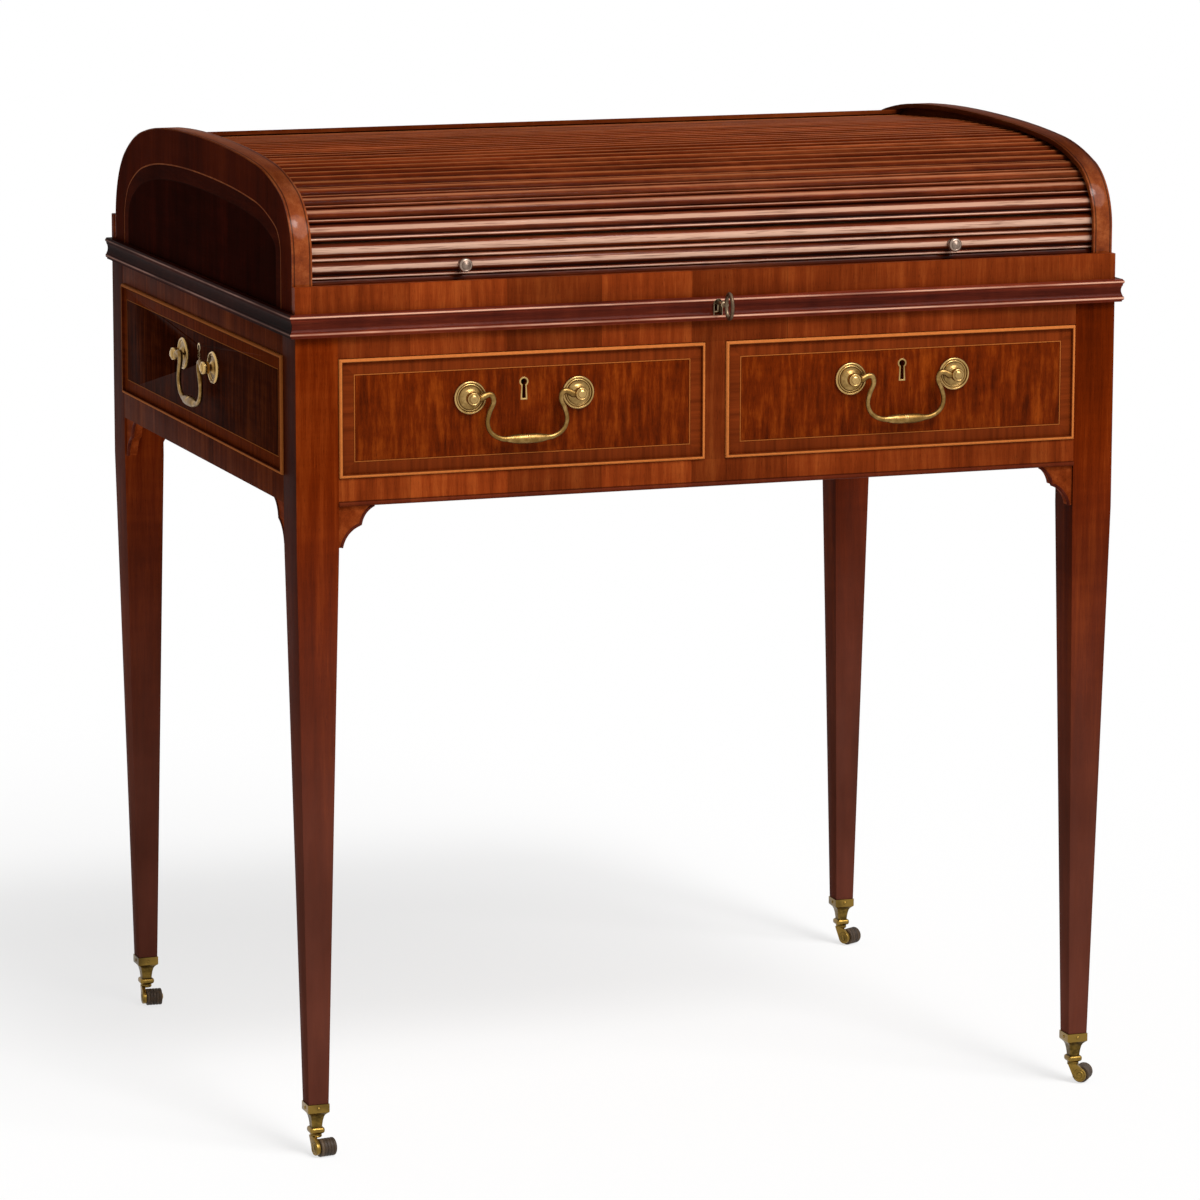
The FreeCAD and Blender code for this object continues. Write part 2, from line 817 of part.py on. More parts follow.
def bail():
    section = []
    for i in range(bail_sides + 1):
        angle = 2 * math.pi * (i + 0.5) / bail_sides
        section.append(V(-bail_journal_end, -pivot_reach + bail_radius * math.cos(angle), bail_radius * math.sin(angle)))
    tube = bail_path().makePipeShell([Part.makePolygon(section)], True, False, 1)
    arm = handle_half_span - journal_depth / 4
    length = arm - bail_journal_end + bail_radius
    journal = pin(V(-arm, -pivot_reach, 0), V(1, 0, 0), journal_radius, length)
    profile = []
    for along_share, radius_share in bulge_shares:
        radius = bail_radius + (bulge_radius - bail_radius) * radius_share
        profile.append((radius, bulge_half_length * along_share))
    bulge = turned(profile, bulge_sides, lambda a, b, u: V(u, a - pivot_reach, b - bail_drop))
    return tube.fuse([journal, mirror_x(journal), bulge])


def on_drawer(shape):
    placed = shape.copy()
    x0, x1 = drawer_span()
    placed.translate(V((x0 + x1) / 2, 0, handle_height))
    return placed


def on_side(shape):
    placed = shape.copy()
    placed.rotate(V(0, 0, 0), V(0, 0, 1), -90)
    placed.translate(V(-half_width, case_depth / 2, handle_height))
    return placed


def drawer_brass():
    x0, x1 = drawer_span()
    cx = (x0 + x1) / 2
    solids = [on_drawer(post) for post in handle_posts()]
    liner = keyhole(cx, drawer_keyhole_height, 0, liner_radius, liner_slot, liner_drop, liner_depth)
    hole = keyhole(cx, drawer_keyhole_height, 0, keyhole_radius, keyhole_slot, keyhole_drop, liner_depth)
    solids.append(liner.cut(hole))
    w = drawer_lock_half_width
    y0 = drawer_front_thickness
    top = drawer_ceiling - drawer_gap - cockbead_width
    lock = block(cx - w, cx + w, y0, y0 + drawer_lock_thickness, top - drawer_lock_height, top)
    solids.append(lock)
    return solids


# Side fronts that look like a drawer
def side_front():
    y0 = leg_width
    y1 = case_depth - leg_width
    board, bead = beaded_front(y0, y1, drawer_floor, drawer_ceiling, 0, side_thickness)
    cx = case_depth / 2
    liner = keyhole(cx, drawer_keyhole_height, 0, liner_radius, liner_slot, liner_drop, liner_depth)
    placed = []
    for piece in (board.cut(liner), bead, liner.cut(
            keyhole(cx, drawer_keyhole_height, 0, keyhole_radius, keyhole_slot, keyhole_drop, liner_depth))):
        piece.rotate(V(0, 0, 0), V(0, 0, 1), 90)
        piece.translate(V(half_width, 0, 0))
        placed.append(piece)
    return placed


# Casters
def caster_cup(cx, cy):
    collar = block(-cup_width / 2, cup_width / 2, -cup_width / 2, cup_width / 2, cup_top - cup_collar, cup_top)
    t = tenon_width / 2 + tenon_fit
    socket = block(-t, t, -t, t, cup_top - cup_collar, cup_top)
    neck = stacked(0, 0, neck_sections)
    waist = ring_width - 2 * ring_round
    ring = stacked(0, 0, [(ring_foot, waist), (ring_foot + ring_round, ring_width),
                          (ring_head - ring_round, ring_width), (ring_head, waist)])
    disc = turned([(disc_radius, disc_foot), (disc_radius, ring_foot + ring_round)], disc_sides, V)
    hole = bore(V(0, 0, disc_foot), V(0, 0, 1), swivel_pin_radius, swivel_hole_top - disc_foot)
    cup = collar.cut(socket).fuse([neck, ring, disc]).cut(hole)
    cup.translate(V(cx, cy, 0))
    return cup


def turned_to_trail(shape, cx, cy, turn):
    placed = shape.copy()
    placed.rotate(V(0, 0, 0), V(0, 0, 1), turn)
    placed.translate(V(cx, cy, 0))
    return placed


def caster_fork(cx, cy, turn):
    """A round head with one arm down to the axle's boss; the wheel trails towards the front before the turn."""
    head_top = disc_foot - seat_gap
    head = turned([(disc_radius, head_foot), (disc_radius, head_top)], disc_sides, V)
    stem = pin(V(0, 0, head_foot), V(0, 0, 1), swivel_pin_radius, swivel_pin_top - head_foot)
    c = boss_radius
    b = c - boss_corner
    corners = [
        (arm_top_back, head_top),
        (arm_top_back, head_foot),
        (-trail + c, wheel_radius + b / 2),
        (-trail + c, wheel_radius - b),
        (-trail + b, wheel_radius - c),
        (-trail - b, wheel_radius - c),
        (-trail - c, wheel_radius - b),
        (-trail - c, wheel_radius + b),
        (-trail - b, wheel_radius + c),
        (-arm_top_front, head_foot),
        (-arm_top_front, head_top),
    ]
    wheel_near = wheel_shift - wheel_width / 2
    wheel_far = wheel_shift + wheel_width / 2
    x0 = wheel_near - arm_gap - arm_thickness
    arm = polygon_face([V(x0, y, z) for y, z in corners]).extrude(V(arm_thickness, 0, 0))
    nut_start = wheel_far + arm_gap
    axle = pin(V(x0, -trail, wheel_radius), V(1, 0, 0), axle_radius, nut_start + axle_nut_length - x0)
    nut = pin(V(nut_start, -trail, wheel_radius), V(1, 0, 0), axle_nut_radius, axle_nut_length)
    fork = head.fuse([stem, arm, axle, nut]).removeSplitter()
    return turned_to_trail(fork, cx, cy, turn)


def caster_wheel(cx, cy, turn):
    h = wheel_width / 2
    r = wheel_radius
    e = wheel_shoulder
    profile = [(r - e, -h), (r, e - h), (r, h - e), (r - e, h)]
    wheel = turned(profile, wheel_sides, lambda a, b, x: V(x + wheel_shift, a - trail, b + wheel_radius))
    hole = bore(V(wheel_shift - h, -trail, wheel_radius), V(1, 0, 0), axle_radius, wheel_width)
    wheel = wheel.cut(hole)
    return turned_to_trail(wheel, cx, cy, turn)


# Tambour curtain
# Each slat is a wide reed over a narrow bead, in section (along the canvas, out from it).
def slat_steps():
    g = slat_gap / 2
    bead_slope = (slat_bead_end - g) / 4
    reed_end = slat_pitch - g
    reed_mid = (reed_start + reed_end) / 2
    return (g, canvas_thickness), [
        [(g, slat_base)],
        [(g + bead_slope, slat_base + slat_bead_height)],
        [(slat_bead_end - bead_slope, slat_base + slat_bead_height)],
        [(slat_bead_end, slat_base)],
        [(reed_start, slat_base)],
        [(reed_mid, slat_base + reed_height), (reed_end, slat_base)],
        [(reed_end, canvas_thickness)],
        [(g, canvas_thickness)],
    ]


def link_frame(y0, z0, angle):
    """Places section points: the first number runs along the link, the second out from it."""
    c = math.cos(math.radians(angle))
    s = math.sin(math.radians(angle))
    return lambda u, w: V(-slat_half_length, y0 + u * c - w * s, z0 + u * s + w * c)


def slats(count, place, start):
    first, steps = slat_steps()
    solids = []
    for i in range(count):
        shift = start + slat_pitch * i
        def at(u, w, shift=shift):
            return place(u + shift, w)
        wire = outline_wire(first, steps, at)
        solids.append(Part.Face(wire).extrude(V(2 * slat_half_length, 0, 0)))
    return solids


def canvas(length, place):
    g = canvas_gap / 2
    corners = [(g, 0), (length - g, 0), (length - g, canvas_thickness), (g, canvas_thickness)]
    points = [place(u, w) + V(slat_half_length - canvas_half_width, 0, 0) for u, w in corners]
    return polygon_face(points).extrude(V(2 * canvas_half_width, 0, 0))


def foot_piece(place):
    g = slat_gap / 2
    corners = [(0, canvas_thickness), (foot_strip - g, canvas_thickness), (foot_strip - g, slat_reach - reed_height / 4),
               (0, slat_reach - reed_height / 4)]
    return polygon_face([place(u, w) for u, w in corners]).extrude(V(2 * slat_half_length, 0, 0))


def knob_profile():
    return [
        (knob_shank_radius, -knob_shank_depth),
        (knob_shank_radius, 0),
        (knob_foot_radius, 0),
        (knob_foot_radius, knob_foot_length),
        (knob_neck_radius, knob_foot_length * 1.5),
        (knob_neck_radius, knob_head_start),
        (knob_radius, knob_head_start + knob_radius * 0.5),
        (knob_radius * 0.82, knob_length - knob_radius * 0.3),
        (knob_tip_radius, knob_length),
    ]


def lead_link():
    """The upright foot of the curtain: a plain strip, two slats and two turned knobs."""
    y0 = foot_front
    z0 = rail_top - foot_sink
    place = link_frame(y0, z0, 90.0)
    length = foot_strip + 2 * slat_pitch
    strip = foot_piece(place)
    y_out = y0 - slat_reach
    notch = block(-notch_half_width, notch_half_width, y_out + notch_front_wall, y0, z0, z0 + notch_rise)
    solids = [strip.cut(notch)] + slats(2, place, foot_strip)
    knobs = []
    knob_z = z0 + foot_strip + slat_pitch * knob_slat_share
    knob_y = y_out
    for x in (-knob_offset, knob_offset):
        def at(a, b, out, x=x):
            return V(x + a, knob_y - out, knob_z + b)
        knobs.append(turned(knob_profile(), knob_sides, at))
    solids[1] = solids[1].cut(Part.Compound(knobs))
    back = canvas(length, place).cut(notch)
    return solids + [back], knobs, (y0, z0 + length)


def link(count, at, angle):
    y0, z0 = at
    place = link_frame(y0, z0, angle)
    length = slat_pitch * count
    end = place(length, 0)
    return slats(count, place, 0) + [canvas(length, place)], (end.y, end.z)


def tambour():
    """The lead link stands on the front rail, and each further link starts at the hinge of the last."""
    lead, knobs, at = lead_link()
    save("tambour_lead", lead)
    save("tambour_knobs", knobs)
    for name, angle in link_angles.items():
        print("hinge", name, round(at[0] - frame_middle, 3), round(at[1], 3))
        count = link_slat_counts.get(name)
        if count is None:
            count = int((case_depth - tail_end_inset - at[0]) / slat_pitch)
        solids, at = link(count, at, angle)
        save("tambour_" + name, solids)
    print("end of curtain", round(at[0] - frame_middle, 3), round(at[1], 3))


# Everything, one file for each piece or group of like pieces
leg_x = half_width - leg_width / 2
leg_y = {"front": leg_width / 2, "back": case_depth - leg_width / 2}
cups = []
for where, cy in leg_y.items():
    for side, cx in (("left", -leg_x), ("right", leg_x)):
        corner = where + "_" + side
        save("leg_" + corner, [leg(cx, cy)])
        save("caster_fork_" + corner, [caster_fork(cx, cy, trail_turns[corner])])
        save("caster_wheel_" + corner, [caster_wheel(cx, cy, trail_turns[corner])])
        cups.append(caster_cup(cx, cy))
save("caster_cups", cups)
save("front_rails", front_rails())
save("side_rails", side_rails())
save("back_panel", back_panel())
save("rear_rail", rear_rail())
save("case_mouldings", both_sides(side_moulding()))
save("corner_brackets", corner_brackets())
save("case_runners", case_runners())
panel = end_panel()
save("end_panel_left", [mirror_x(panel)])
save("end_panel_right", [panel])
save("rear_cover", [rear_cover()])
save("pigeonhole_nest", pigeonhole_nest())

save("slide_front", slide_front())
save("slide_moulding", [slide_moulding()])
save("slide_board", [slide_board()])
save("slide_leather", [leather_block()])
save("slide_lock", [slide_lock()])
save("lock_bolt", [lock_bolt()])
save("key", [key()])

front_solids = drawer_front()
box_solids = drawer_box()
brass_solids = drawer_brass()
drawer_bail = on_drawer(bail())
save("drawer_front_left", front_solids)
save("drawer_front_right", [mirror_x(s) for s in front_solids])
save("drawer_box_left", box_solids)
save("drawer_box_right", [mirror_x(s) for s in box_solids])
save("drawer_brass_left", brass_solids)
save("drawer_brass_right", [mirror_x(s) for s in brass_solids])
save("drawer_bail_left", [drawer_bail])
save("drawer_bail_right", [mirror_x(drawer_bail)])

side_solids = side_front()
save("side_front_right", side_solids)
save("side_front_left", [mirror_x(s) for s in side_solids])
side_posts = [on_side(post) for post in handle_posts()]
save("side_posts", side_posts + [mirror_x(post) for post in side_posts])
side_bail = on_side(bail())
save("side_bail_left", [side_bail])
save("side_bail_right", [mirror_x(side_bail)])

tambour()
print("frame middle", frame_middle)
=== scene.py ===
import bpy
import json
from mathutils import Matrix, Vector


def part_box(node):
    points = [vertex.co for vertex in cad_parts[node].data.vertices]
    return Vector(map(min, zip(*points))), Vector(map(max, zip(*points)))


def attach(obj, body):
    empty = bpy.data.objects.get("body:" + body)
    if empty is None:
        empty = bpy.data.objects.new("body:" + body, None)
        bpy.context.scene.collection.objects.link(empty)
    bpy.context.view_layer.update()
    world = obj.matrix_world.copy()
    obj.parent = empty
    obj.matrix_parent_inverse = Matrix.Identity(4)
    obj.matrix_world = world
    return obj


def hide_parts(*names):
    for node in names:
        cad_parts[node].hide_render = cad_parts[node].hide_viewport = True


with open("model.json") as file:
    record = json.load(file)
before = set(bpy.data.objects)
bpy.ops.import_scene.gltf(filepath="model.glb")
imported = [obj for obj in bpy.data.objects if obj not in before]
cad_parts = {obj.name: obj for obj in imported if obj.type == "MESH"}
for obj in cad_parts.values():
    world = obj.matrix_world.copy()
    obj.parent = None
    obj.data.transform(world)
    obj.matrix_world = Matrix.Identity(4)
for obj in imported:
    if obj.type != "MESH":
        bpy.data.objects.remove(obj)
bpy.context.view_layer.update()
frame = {"nodes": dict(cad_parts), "record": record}

import json
import math
import bpy
from mathutils import Matrix, Vector

# A mahogany tambour desk: inlaid drawers with swan-neck handles, a slatted curtain, castered legs.
# Lengths in the dictionaries are millimetres, colours are screen colours from 0 to 255.
mm = 0.001
caseFront = -293.5      # the case's front face along y
caseSide = 403.0        # the case's side faces, either way along x
record = frame["record"]
slotOfNode = {part["node"]: part["material_slot"] for part in record["subparts"]}
hingeAt = {joint["name"]: Vector(joint["pos_m"]) for joint in record["behaviour"]["joints"]
           if "pos_m" in joint}


def tint(colour):  # a screen colour as linear light
    return tuple(c / 3294.6 if c <= 10 else ((c / 255 + 0.055) / 1.055) ** 2.4 for c in colour) + (1.0,)


class Wire:
    # one socket of a node tree; operators on wires add Math nodes
    def __init__(self, tree, socket=None):
        self.tree, self.socket = tree, socket

    def put(self, socket, value):
        if isinstance(value, Wire):
            self.tree.links.new(value.socket, socket)
        else:
            socket.default_value = value

    def node(self, kind, settings=None, inputs=None, output=0):
        made = self.tree.nodes.new(kind)
        for name, value in (settings or {}).items():
            if name == "stops":
                stops = made.color_ramp.elements
                stops.remove(stops[1])
                stops[0].position, stops[0].color = value[0]
                for spot, colour in value[1:]:
                    stops.new(spot).color = colour
            else:
                setattr(made, name, value)
        for name, value in (inputs or {}).items():
            self.put(made.inputs[name], value)
        if isinstance(output, tuple):
            return [Wire(self.tree, made.outputs[o]) for o in output]
        return Wire(self.tree, made.outputs[output])

    def math(self, operation, *values):
        return self.node("ShaderNodeMath", {"operation": operation}, dict(enumerate(values)))

    def __add__(self, other):
        return self.math("ADD", self, other)

    __radd__ = __add__

    def __sub__(self, other):
        return self.math("SUBTRACT", self, other)

    def __rsub__(self, other):
        return self.math("SUBTRACT", other, self)

    def __mul__(self, other):
        return self.math("MULTIPLY", self, other)

    __rmul__ = __mul__

    def __truediv__(self, other):
        return self.math("DIVIDE", self, other)

    def __gt__(self, other):
        return self.math("GREATER_THAN", self, other)

    def __lt__(self, other):
        return self.math("LESS_THAN", self, other)

    def __abs__(self):
        return self.math("ABSOLUTE", self)

    def least(self, other):
        return self.math("MINIMUM", self, other)

    def most(self, other):
        return self.math("MAXIMUM", self, other)

    def floor(self):
        return self.math("FLOOR", self)

    def between(self, low, high):  # 0 below low, 1 above high, smooth from one to the other
        return self.node("ShaderNodeMapRange", {"interpolation_type": "SMOOTHSTEP"},
                         {"Value": self, "From Min": low, "From Max": high})

    def point(self, x, y, z):
        return self.node("ShaderNodeCombineXYZ", {}, {0: x, 1: y, 2: z})

    def noise(self, place, detail=4.0, roughness=0.55):
        return self.node("ShaderNodeTexNoise", {}, {
            "Vector": place, "Scale": 1.0, "Detail": detail, "Roughness": roughness})

    def grainy(self, spots, sizes, *settings):  # noise with its own size along each axis
        return self.noise(self.point(*[spot * size for spot, size in zip(spots, sizes)]), *settings)

    def lift(self, depth):  # 1 stays, and 0 becomes 1 less the depth
        return self * depth + (1 - depth)

    def line(self, at, reach):  # 0 on a line and 1 away from it, in millimetres
        near, far = reach
        return abs(self - at * mm).between(near * mm, far * mm)

    def chance(self, number):  # one steady random value for each whole number
        return self.node("ShaderNodeTexWhiteNoise", {"noise_dimensions": "1D"}, {"W": number}, "Value")

    def mix(self, share, first, second):  # colours
        return self.node("ShaderNodeMix", {"data_type": "RGBA"}, {0: share, 6: first, 7: second}, 2)

    def pick(self, share, first, second):  # numbers
        return self.node("ShaderNodeMix", {"data_type": "FLOAT"}, {0: share, 2: first, 3: second}, 0)

    def shade(self, colour, amount):  # darker or lighter by an amount that may vary
        start = colour if isinstance(colour, Wire) else colour[:3]
        return self.node("ShaderNodeVectorMath", {"operation": "SCALE"}, {0: start, "Scale": amount})

    def cover(self, shader, colour, rough, height, strength, depth):  # the finished wires go into the shader
        bump = self.node("ShaderNodeBump", {}, {"Strength": strength, "Distance": depth, "Height": height})
        for socket, value in (("Base Color", colour), ("Roughness", rough), ("Normal", bump)):
            if value is not None:
                self.put(shader.inputs[socket], value)


def material(name, constants):
    made = bpy.data.materials.new(name)
    made.use_nodes = True
    shader = made.node_tree.nodes["Principled BSDF"]
    for socket, value in constants.items():
        shader.inputs[socket].default_value = value
    return made, Wire(made.node_tree), shader


# Mahogany and its relations. Grain is the axis that the fibres follow.
mahogany = {
    "tones": ((70, 22, 4), (112, 44, 14), (148, 70, 30)),
    "grain": 0, "along": 5.0, "across": 120.0, "wander": 0.010, "broad": 0.42,
    "figure": 0.12, "figureAlong": 75.0, "figureAcross": 12.0, "stain": 0.10,
    "pores": 0.55, "rough": (0.30, 0.48), "bump": 0.20,
    "specular": 0.014, "coat": 0.0, "coatRough": 0.2, "coatIndex": 1.3,
}


# The marks that every wood has. Pairs are sizes along and across the grain,
# and those of the bands and fibres multiply the streaks' sizes.
marks = {
    "drift": (3.0, 14.0), "bands": (0.4, 0.22), "fibres": (9, 9), "pores": (160.0, 1500.0),
    "sheen": (20.0, 40.0),
    "detail": 6.0, "roughness": 0.62, "poreEdge": (0.60, 0.72), "stain": 9.0, "stainDepth": 4,
    "streakShare": 0.84, "fibreShare": 0.16, "steps": (0.34, 0.50, 0.66), "poreDark": 0.6, "poreRough": 0.12,
    "streakHeight": 0.3, "fibreHeight": 0.2, "poreHeight": 0.8, "bumpDepth": 0.0003,
}


def grain(spots, look, sizes, *settings):  # noise drawn out along the grain
    along, across = sizes
    return spots[0].grainy(spots, [along if axis == look["grain"] else across for axis in range(3)],
                           *settings)


def wood(name, changes=None, dress=None):
    look = dict(mahogany, **(changes or {}))
    made, start, shader = material(name, {
        "Specular IOR Level": look["specular"], "Coat Roughness": look["coatRough"],
        "Coat Weight": look["coat"], "Coat IOR": look["coatIndex"]})
    place = start.node("ShaderNodeTexCoord", output="Object")
    spots = start.node("ShaderNodeSeparateXYZ", {}, {0: place}, (0, 1, 2))
    drift = grain(spots, look, marks["drift"], 2.0) - 0.5
    bent = [spot if axis == look["grain"] else spot + drift * look["wander"]
            for axis, spot in enumerate(spots)]
    size = look["along"], look["across"]
    wide, fine = [[a * b for a, b in zip(size, marks[mark])] for mark in ("bands", "fibres")]
    streaks = grain(bent, look, size, marks["detail"], marks["roughness"])
    bands, fibres = grain(bent, look, wide, 3.0), grain(bent, look, fine, 2.0)
    figure = grain(bent, look, (look["figureAlong"], look["figureAcross"]), 3.0) - 0.5
    broad = look["broad"]
    tone = streaks * (marks["streakShare"] - broad) + bands * broad
    tone = tone + fibres * marks["fibreShare"] + figure * look["figure"]
    colours = [tint(shade) for shade in look["tones"]]
    colour = start.node("ShaderNodeValToRGB", {"stops": list(zip(marks["steps"], colours))}, {0: tone})
    pore = grain(bent, look, marks["pores"], 2.0).between(*marks["poreEdge"]) * look["pores"]
    stain = start.grainy(spots, [marks["stain"]] * 3, 3.0) - 0.5
    colour = start.shade(colour, 1 - pore * marks["poreDark"] + stain * look["stain"] * marks["stainDepth"])
    low, high = look["rough"]
    rough = grain(spots, look, marks["sheen"], 3.0) * (high - low) + low + pore * marks["poreRough"]
    height = streaks * marks["streakHeight"] + fibres * marks["fibreHeight"] - pore * marks["poreHeight"]
    if dress:
        colour, rough, height, *polish = dress(start, spots, colour, rough, height)
        if polish:
            start.put(shader.inputs["Coat Weight"], polish[0])
    start.cover(shader, colour, rough, height, look["bump"], marks["bumpDepth"])
    return made


# Old metals: dull, rubbed bright on their edges, tarnished in patches
oldMetal = {
    "tarnish": 0.5, "edge": 3.0, "rough": (0.30, 0.5), "bump": 0.1, "detail": 6.0, "roughness": 0.65,
    "broad": 0.12,
    "wear": (0.34, 0.66), "tarnishEdge": (0.50, 0.72), "dulled": 0.1,
}


def metal(name, changes):
    look = dict(oldMetal, **changes)
    made, start, shader = material(name, {"Metallic": 1.0})
    place = start.node("ShaderNodeTexCoord", output="Object")
    fine = start.node("ShaderNodeTexNoise", {}, {
        "Vector": place, "Scale": look["scale"], "Detail": look["detail"], "Roughness": look["roughness"]})
    broad = start.node("ShaderNodeTexNoise", {}, {
        "Vector": place, "Scale": look["scale"] * look["broad"], "Detail": 3.0})
    edges = start.node("ShaderNodeNewGeometry", output="Pointiness")
    wear = (fine * 0.5 + broad * 0.5 + (edges - 0.5) * look["edge"]).between(*look["wear"])
    colour = start.mix(wear, tint(look["dull"]), tint(look["bright"]))
    tarnish = broad.between(*look["tarnishEdge"]) * look["tarnish"]
    colour = start.mix(tarnish, colour, tint(look["stain"]))
    low, high = look["rough"]
    rough = high - wear * (high - low) + tarnish * look["dulled"]
    start.cover(shader, colour, rough, fine, look["bump"], marks["bumpDepth"])
    return made


# Inlaid fronts: a rounded bead, a crossband with mitred corners, a boxwood string and a figured field
inlay = {
    "streaks": (210, 9), "steps": (0.32, 0.68), "patch": 16.0, "endShift": 40.0, "patchTone": 0.10,
    "speckle": 400,
    "lineReach": (0.6, 1.4), "lineDark": (0.4, 0.3), "seam": (0.1, 0.6), "seamDark": 0.65,
    "depth": 4.0, "bead": 2.7, "string": 14.2, "stringEnd": 15.05,
    "beadColour": (186, 106, 50), "stringColour": (156, 86, 36), "bandDark": (92, 34, 8),
    "bandLight": (120, 48, 14),
}


def inlaidFront(corners, across, sideShading=1.0):
    # across is the axis along the front's width: 0 for the drawers, 1 for the sides
    # sideShading darkens the whole front, painted shade for the side fronts
    low, high = corners
    middle = abs(low[across] + high[across]) / 2 if across == 0 else (low[across] + high[across]) / 2
    middleUp = (low[2] + high[2]) / 2
    halfAcross = (high[across] - low[across]) / 2
    halfUp = (high[2] - low[2]) / 2

    def dress(start, spots, colour, rough, height):
        side = abs(spots[across]) if across == 0 else spots[across]
        fromEnd = halfAcross - abs(side - middle)
        fromTop = halfUp - abs(spots[2] - middleUp)
        edge = fromEnd.least(fromTop)
        onEnd = fromEnd < fromTop
        lengthways = start.pick(onEnd, spots[across], spots[2])
        fine, coarse = inlay["streaks"]
        streaks = start.noise(start.point(lengthways * fine,
                                          start.pick(onEnd, spots[2], spots[across]) * coarse, 0.0),
                              marks["detail"], marks["roughness"])
        patch = start.chance((lengthways * inlay["patch"] + onEnd * inlay["endShift"]).floor()) - 0.5
        colours = tint(inlay["bandDark"]), tint(inlay["bandLight"])
        band = start.node("ShaderNodeValToRGB", {"stops": list(zip(inlay["steps"], colours))},
                          {0: streaks + patch * inlay["patchTone"]})
        speckle = start.grainy(spots, [inlay["speckle"]] * 3, 3.0) * 0.5 + 0.75
        depth = spots[1] - low[1] if across == 0 else high[0] - abs(spots[0])
        onFace = depth < inlay["depth"] * mm
        isBead = (edge < inlay["bead"] * mm) * onFace
        isBand = (edge < inlay["string"] * mm) * onFace
        isString = (edge > inlay["string"] * mm) * (edge < inlay["stringEnd"] * mm) * onFace
        line = edge.line((inlay["string"] + inlay["stringEnd"]) / 2, inlay["lineReach"])
        inField, inBand = inlay["lineDark"]
        colour = start.shade(colour, line.lift(inField))
        colour = start.mix(isBand, colour, start.shade(band, line.lift(inBand)))
        colour = start.mix(isString, colour, start.shade(tint(inlay["stringColour"]), speckle))
        colour = start.mix(isBead, colour, start.shade(tint(inlay["beadColour"]), speckle))
        seam = edge.line(inlay["bead"], inlay["seam"]).lift(inlay["seamDark"])
        return start.shade(colour, seam * sideShading), rough, height

    return dress


# Crossbanded rails: short lengths of veneer that differ in tone, over a dark bead along the lowest edge
rails = {
    "patches": 11.0, "first": 20.0, "wander": 7.0, "wanderShare": 0.5, "tone": 0.44,
    "seam": 0.35, "seamEdge": (0.494, 0.499), "beadTop": 612.9, "bead": (74, 26, 14), "beadShare": 0.7,
    "groove": (0.2, 0.8), "beadLine": 0.5,
}


def crossbanded(start, spots, colour, rough, height):
    wander = start.noise(start.point(spots[0] * rails["wander"], 0.0, 0.0), 2.0) * rails["wanderShare"]
    count = spots[0] * rails["patches"] + wander + rails["first"]
    patch = start.chance(count.floor()) - 0.5
    toSeam = abs(count - count.floor() - 0.5)
    seam = toSeam.between(*rails["seamEdge"]) * rails["seam"]
    colour = start.shade(colour, 1 + patch * rails["tone"] - seam)
    isBead = spots[2] < rails["beadTop"] * mm
    colour = start.mix(isBead * rails["beadShare"], colour, tint(rails["bead"]))
    groove = spots[2].line(rails["beadTop"], rails["groove"]).lift(rails["beadLine"])
    return start.shade(colour, groove), rough, height


# The writing surface: leather with two tooled lines near its edge
leatherLook = {"lines": (9.0, 14.0), "edge": (0.44, 0.66), "gilt": (168, 132, 62),
               "worn": 160, "wornEdge": (0.3, 0.5), "pressed": 0.6}


def tooledBorder(start, spots, colour, rough, height):
    low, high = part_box("slide_leather")
    fromSide = (high[0] - low[0]) / 2 - abs(spots[0] - (high[0] + low[0]) / 2)
    fromEnd = (high[1] - low[1]) / 2 - abs(spots[1] - (high[1] + low[1]) / 2)
    edge = fromSide.least(fromEnd)
    for line in leatherLook["lines"]:
        on = 1 - edge.line(line, leatherLook["edge"])
        worn = start.noise(start.point(spots[0] * leatherLook["worn"], spots[1] * leatherLook["worn"], 0.0),
                           3.0)
        colour = start.mix(on * worn.between(*leatherLook["wornEdge"]), colour, tint(leatherLook["gilt"]))
        height = height - on * leatherLook["pressed"]
    return colour, rough, height


# Slats: each has its own tone, with painted shade where the reed meets its bead,
# and crests painted pale, partly wear and partly a painted highlight, most of all towards the front
slatLook = {
    "blotch": (9.0, 60.0, 60.0), "blotchShare": 1.1, "front": (0.900, 0.06), "shine": 0.28,
    "crestEdge": (1.0, 0.6), "crest": (0.5, 0.34), "topCrest": (190, 116, 62), "frontCrest": (216, 174, 150),
    "scuff": (30.0, 900.0, 900.0), "scuffEdge": (0.52, 0.68), "scuffCrest": 0.6, "scuffDark": 0.4,
    "scuffRough": 0.15,
    "scuffHeight": 0.3, "scuffShine": 0.5,
}


def slatTones(start, spots, colour, rough, height):
    # slatTone holds each slat's own tone, with painted shade in its grooves and painted highlight on its
    # crests
    tone = start.node("ShaderNodeAttribute", {"attribute_name": "slatTone"}, output="Fac")
    blotch = start.grainy(spots, slatLook["blotch"]) - 0.5
    scuff = start.grainy(spots, slatLook["scuff"], 3.0).between(*slatLook["scuffEdge"])
    top, drop = slatLook["front"]
    front = (top - spots[2]).between(0.0, drop)
    full, reach = slatLook["crestEdge"]
    gain, least = slatLook["crest"]
    # crest: pale crests, partly wear and partly a painted highlight, paler and greyer towards the front
    crest = (tone - full).between(0.0, reach) * (front * gain + least) * (1 - scuff * slatLook["scuffCrest"])
    tone = tone.least(1.0) * (1 + blotch * slatLook["blotchShare"]) * (1 - scuff * slatLook["scuffDark"])
    colour = start.shade(colour, tone)
    colour = start.mix(crest, colour,
                       start.mix(front, tint(slatLook["topCrest"]), tint(slatLook["frontCrest"])))
    return (colour, rough + scuff * slatLook["scuffRough"], height - scuff * slatLook["scuffHeight"],
            front * slatLook["shine"] * (1 - scuff * slatLook["scuffShine"]))
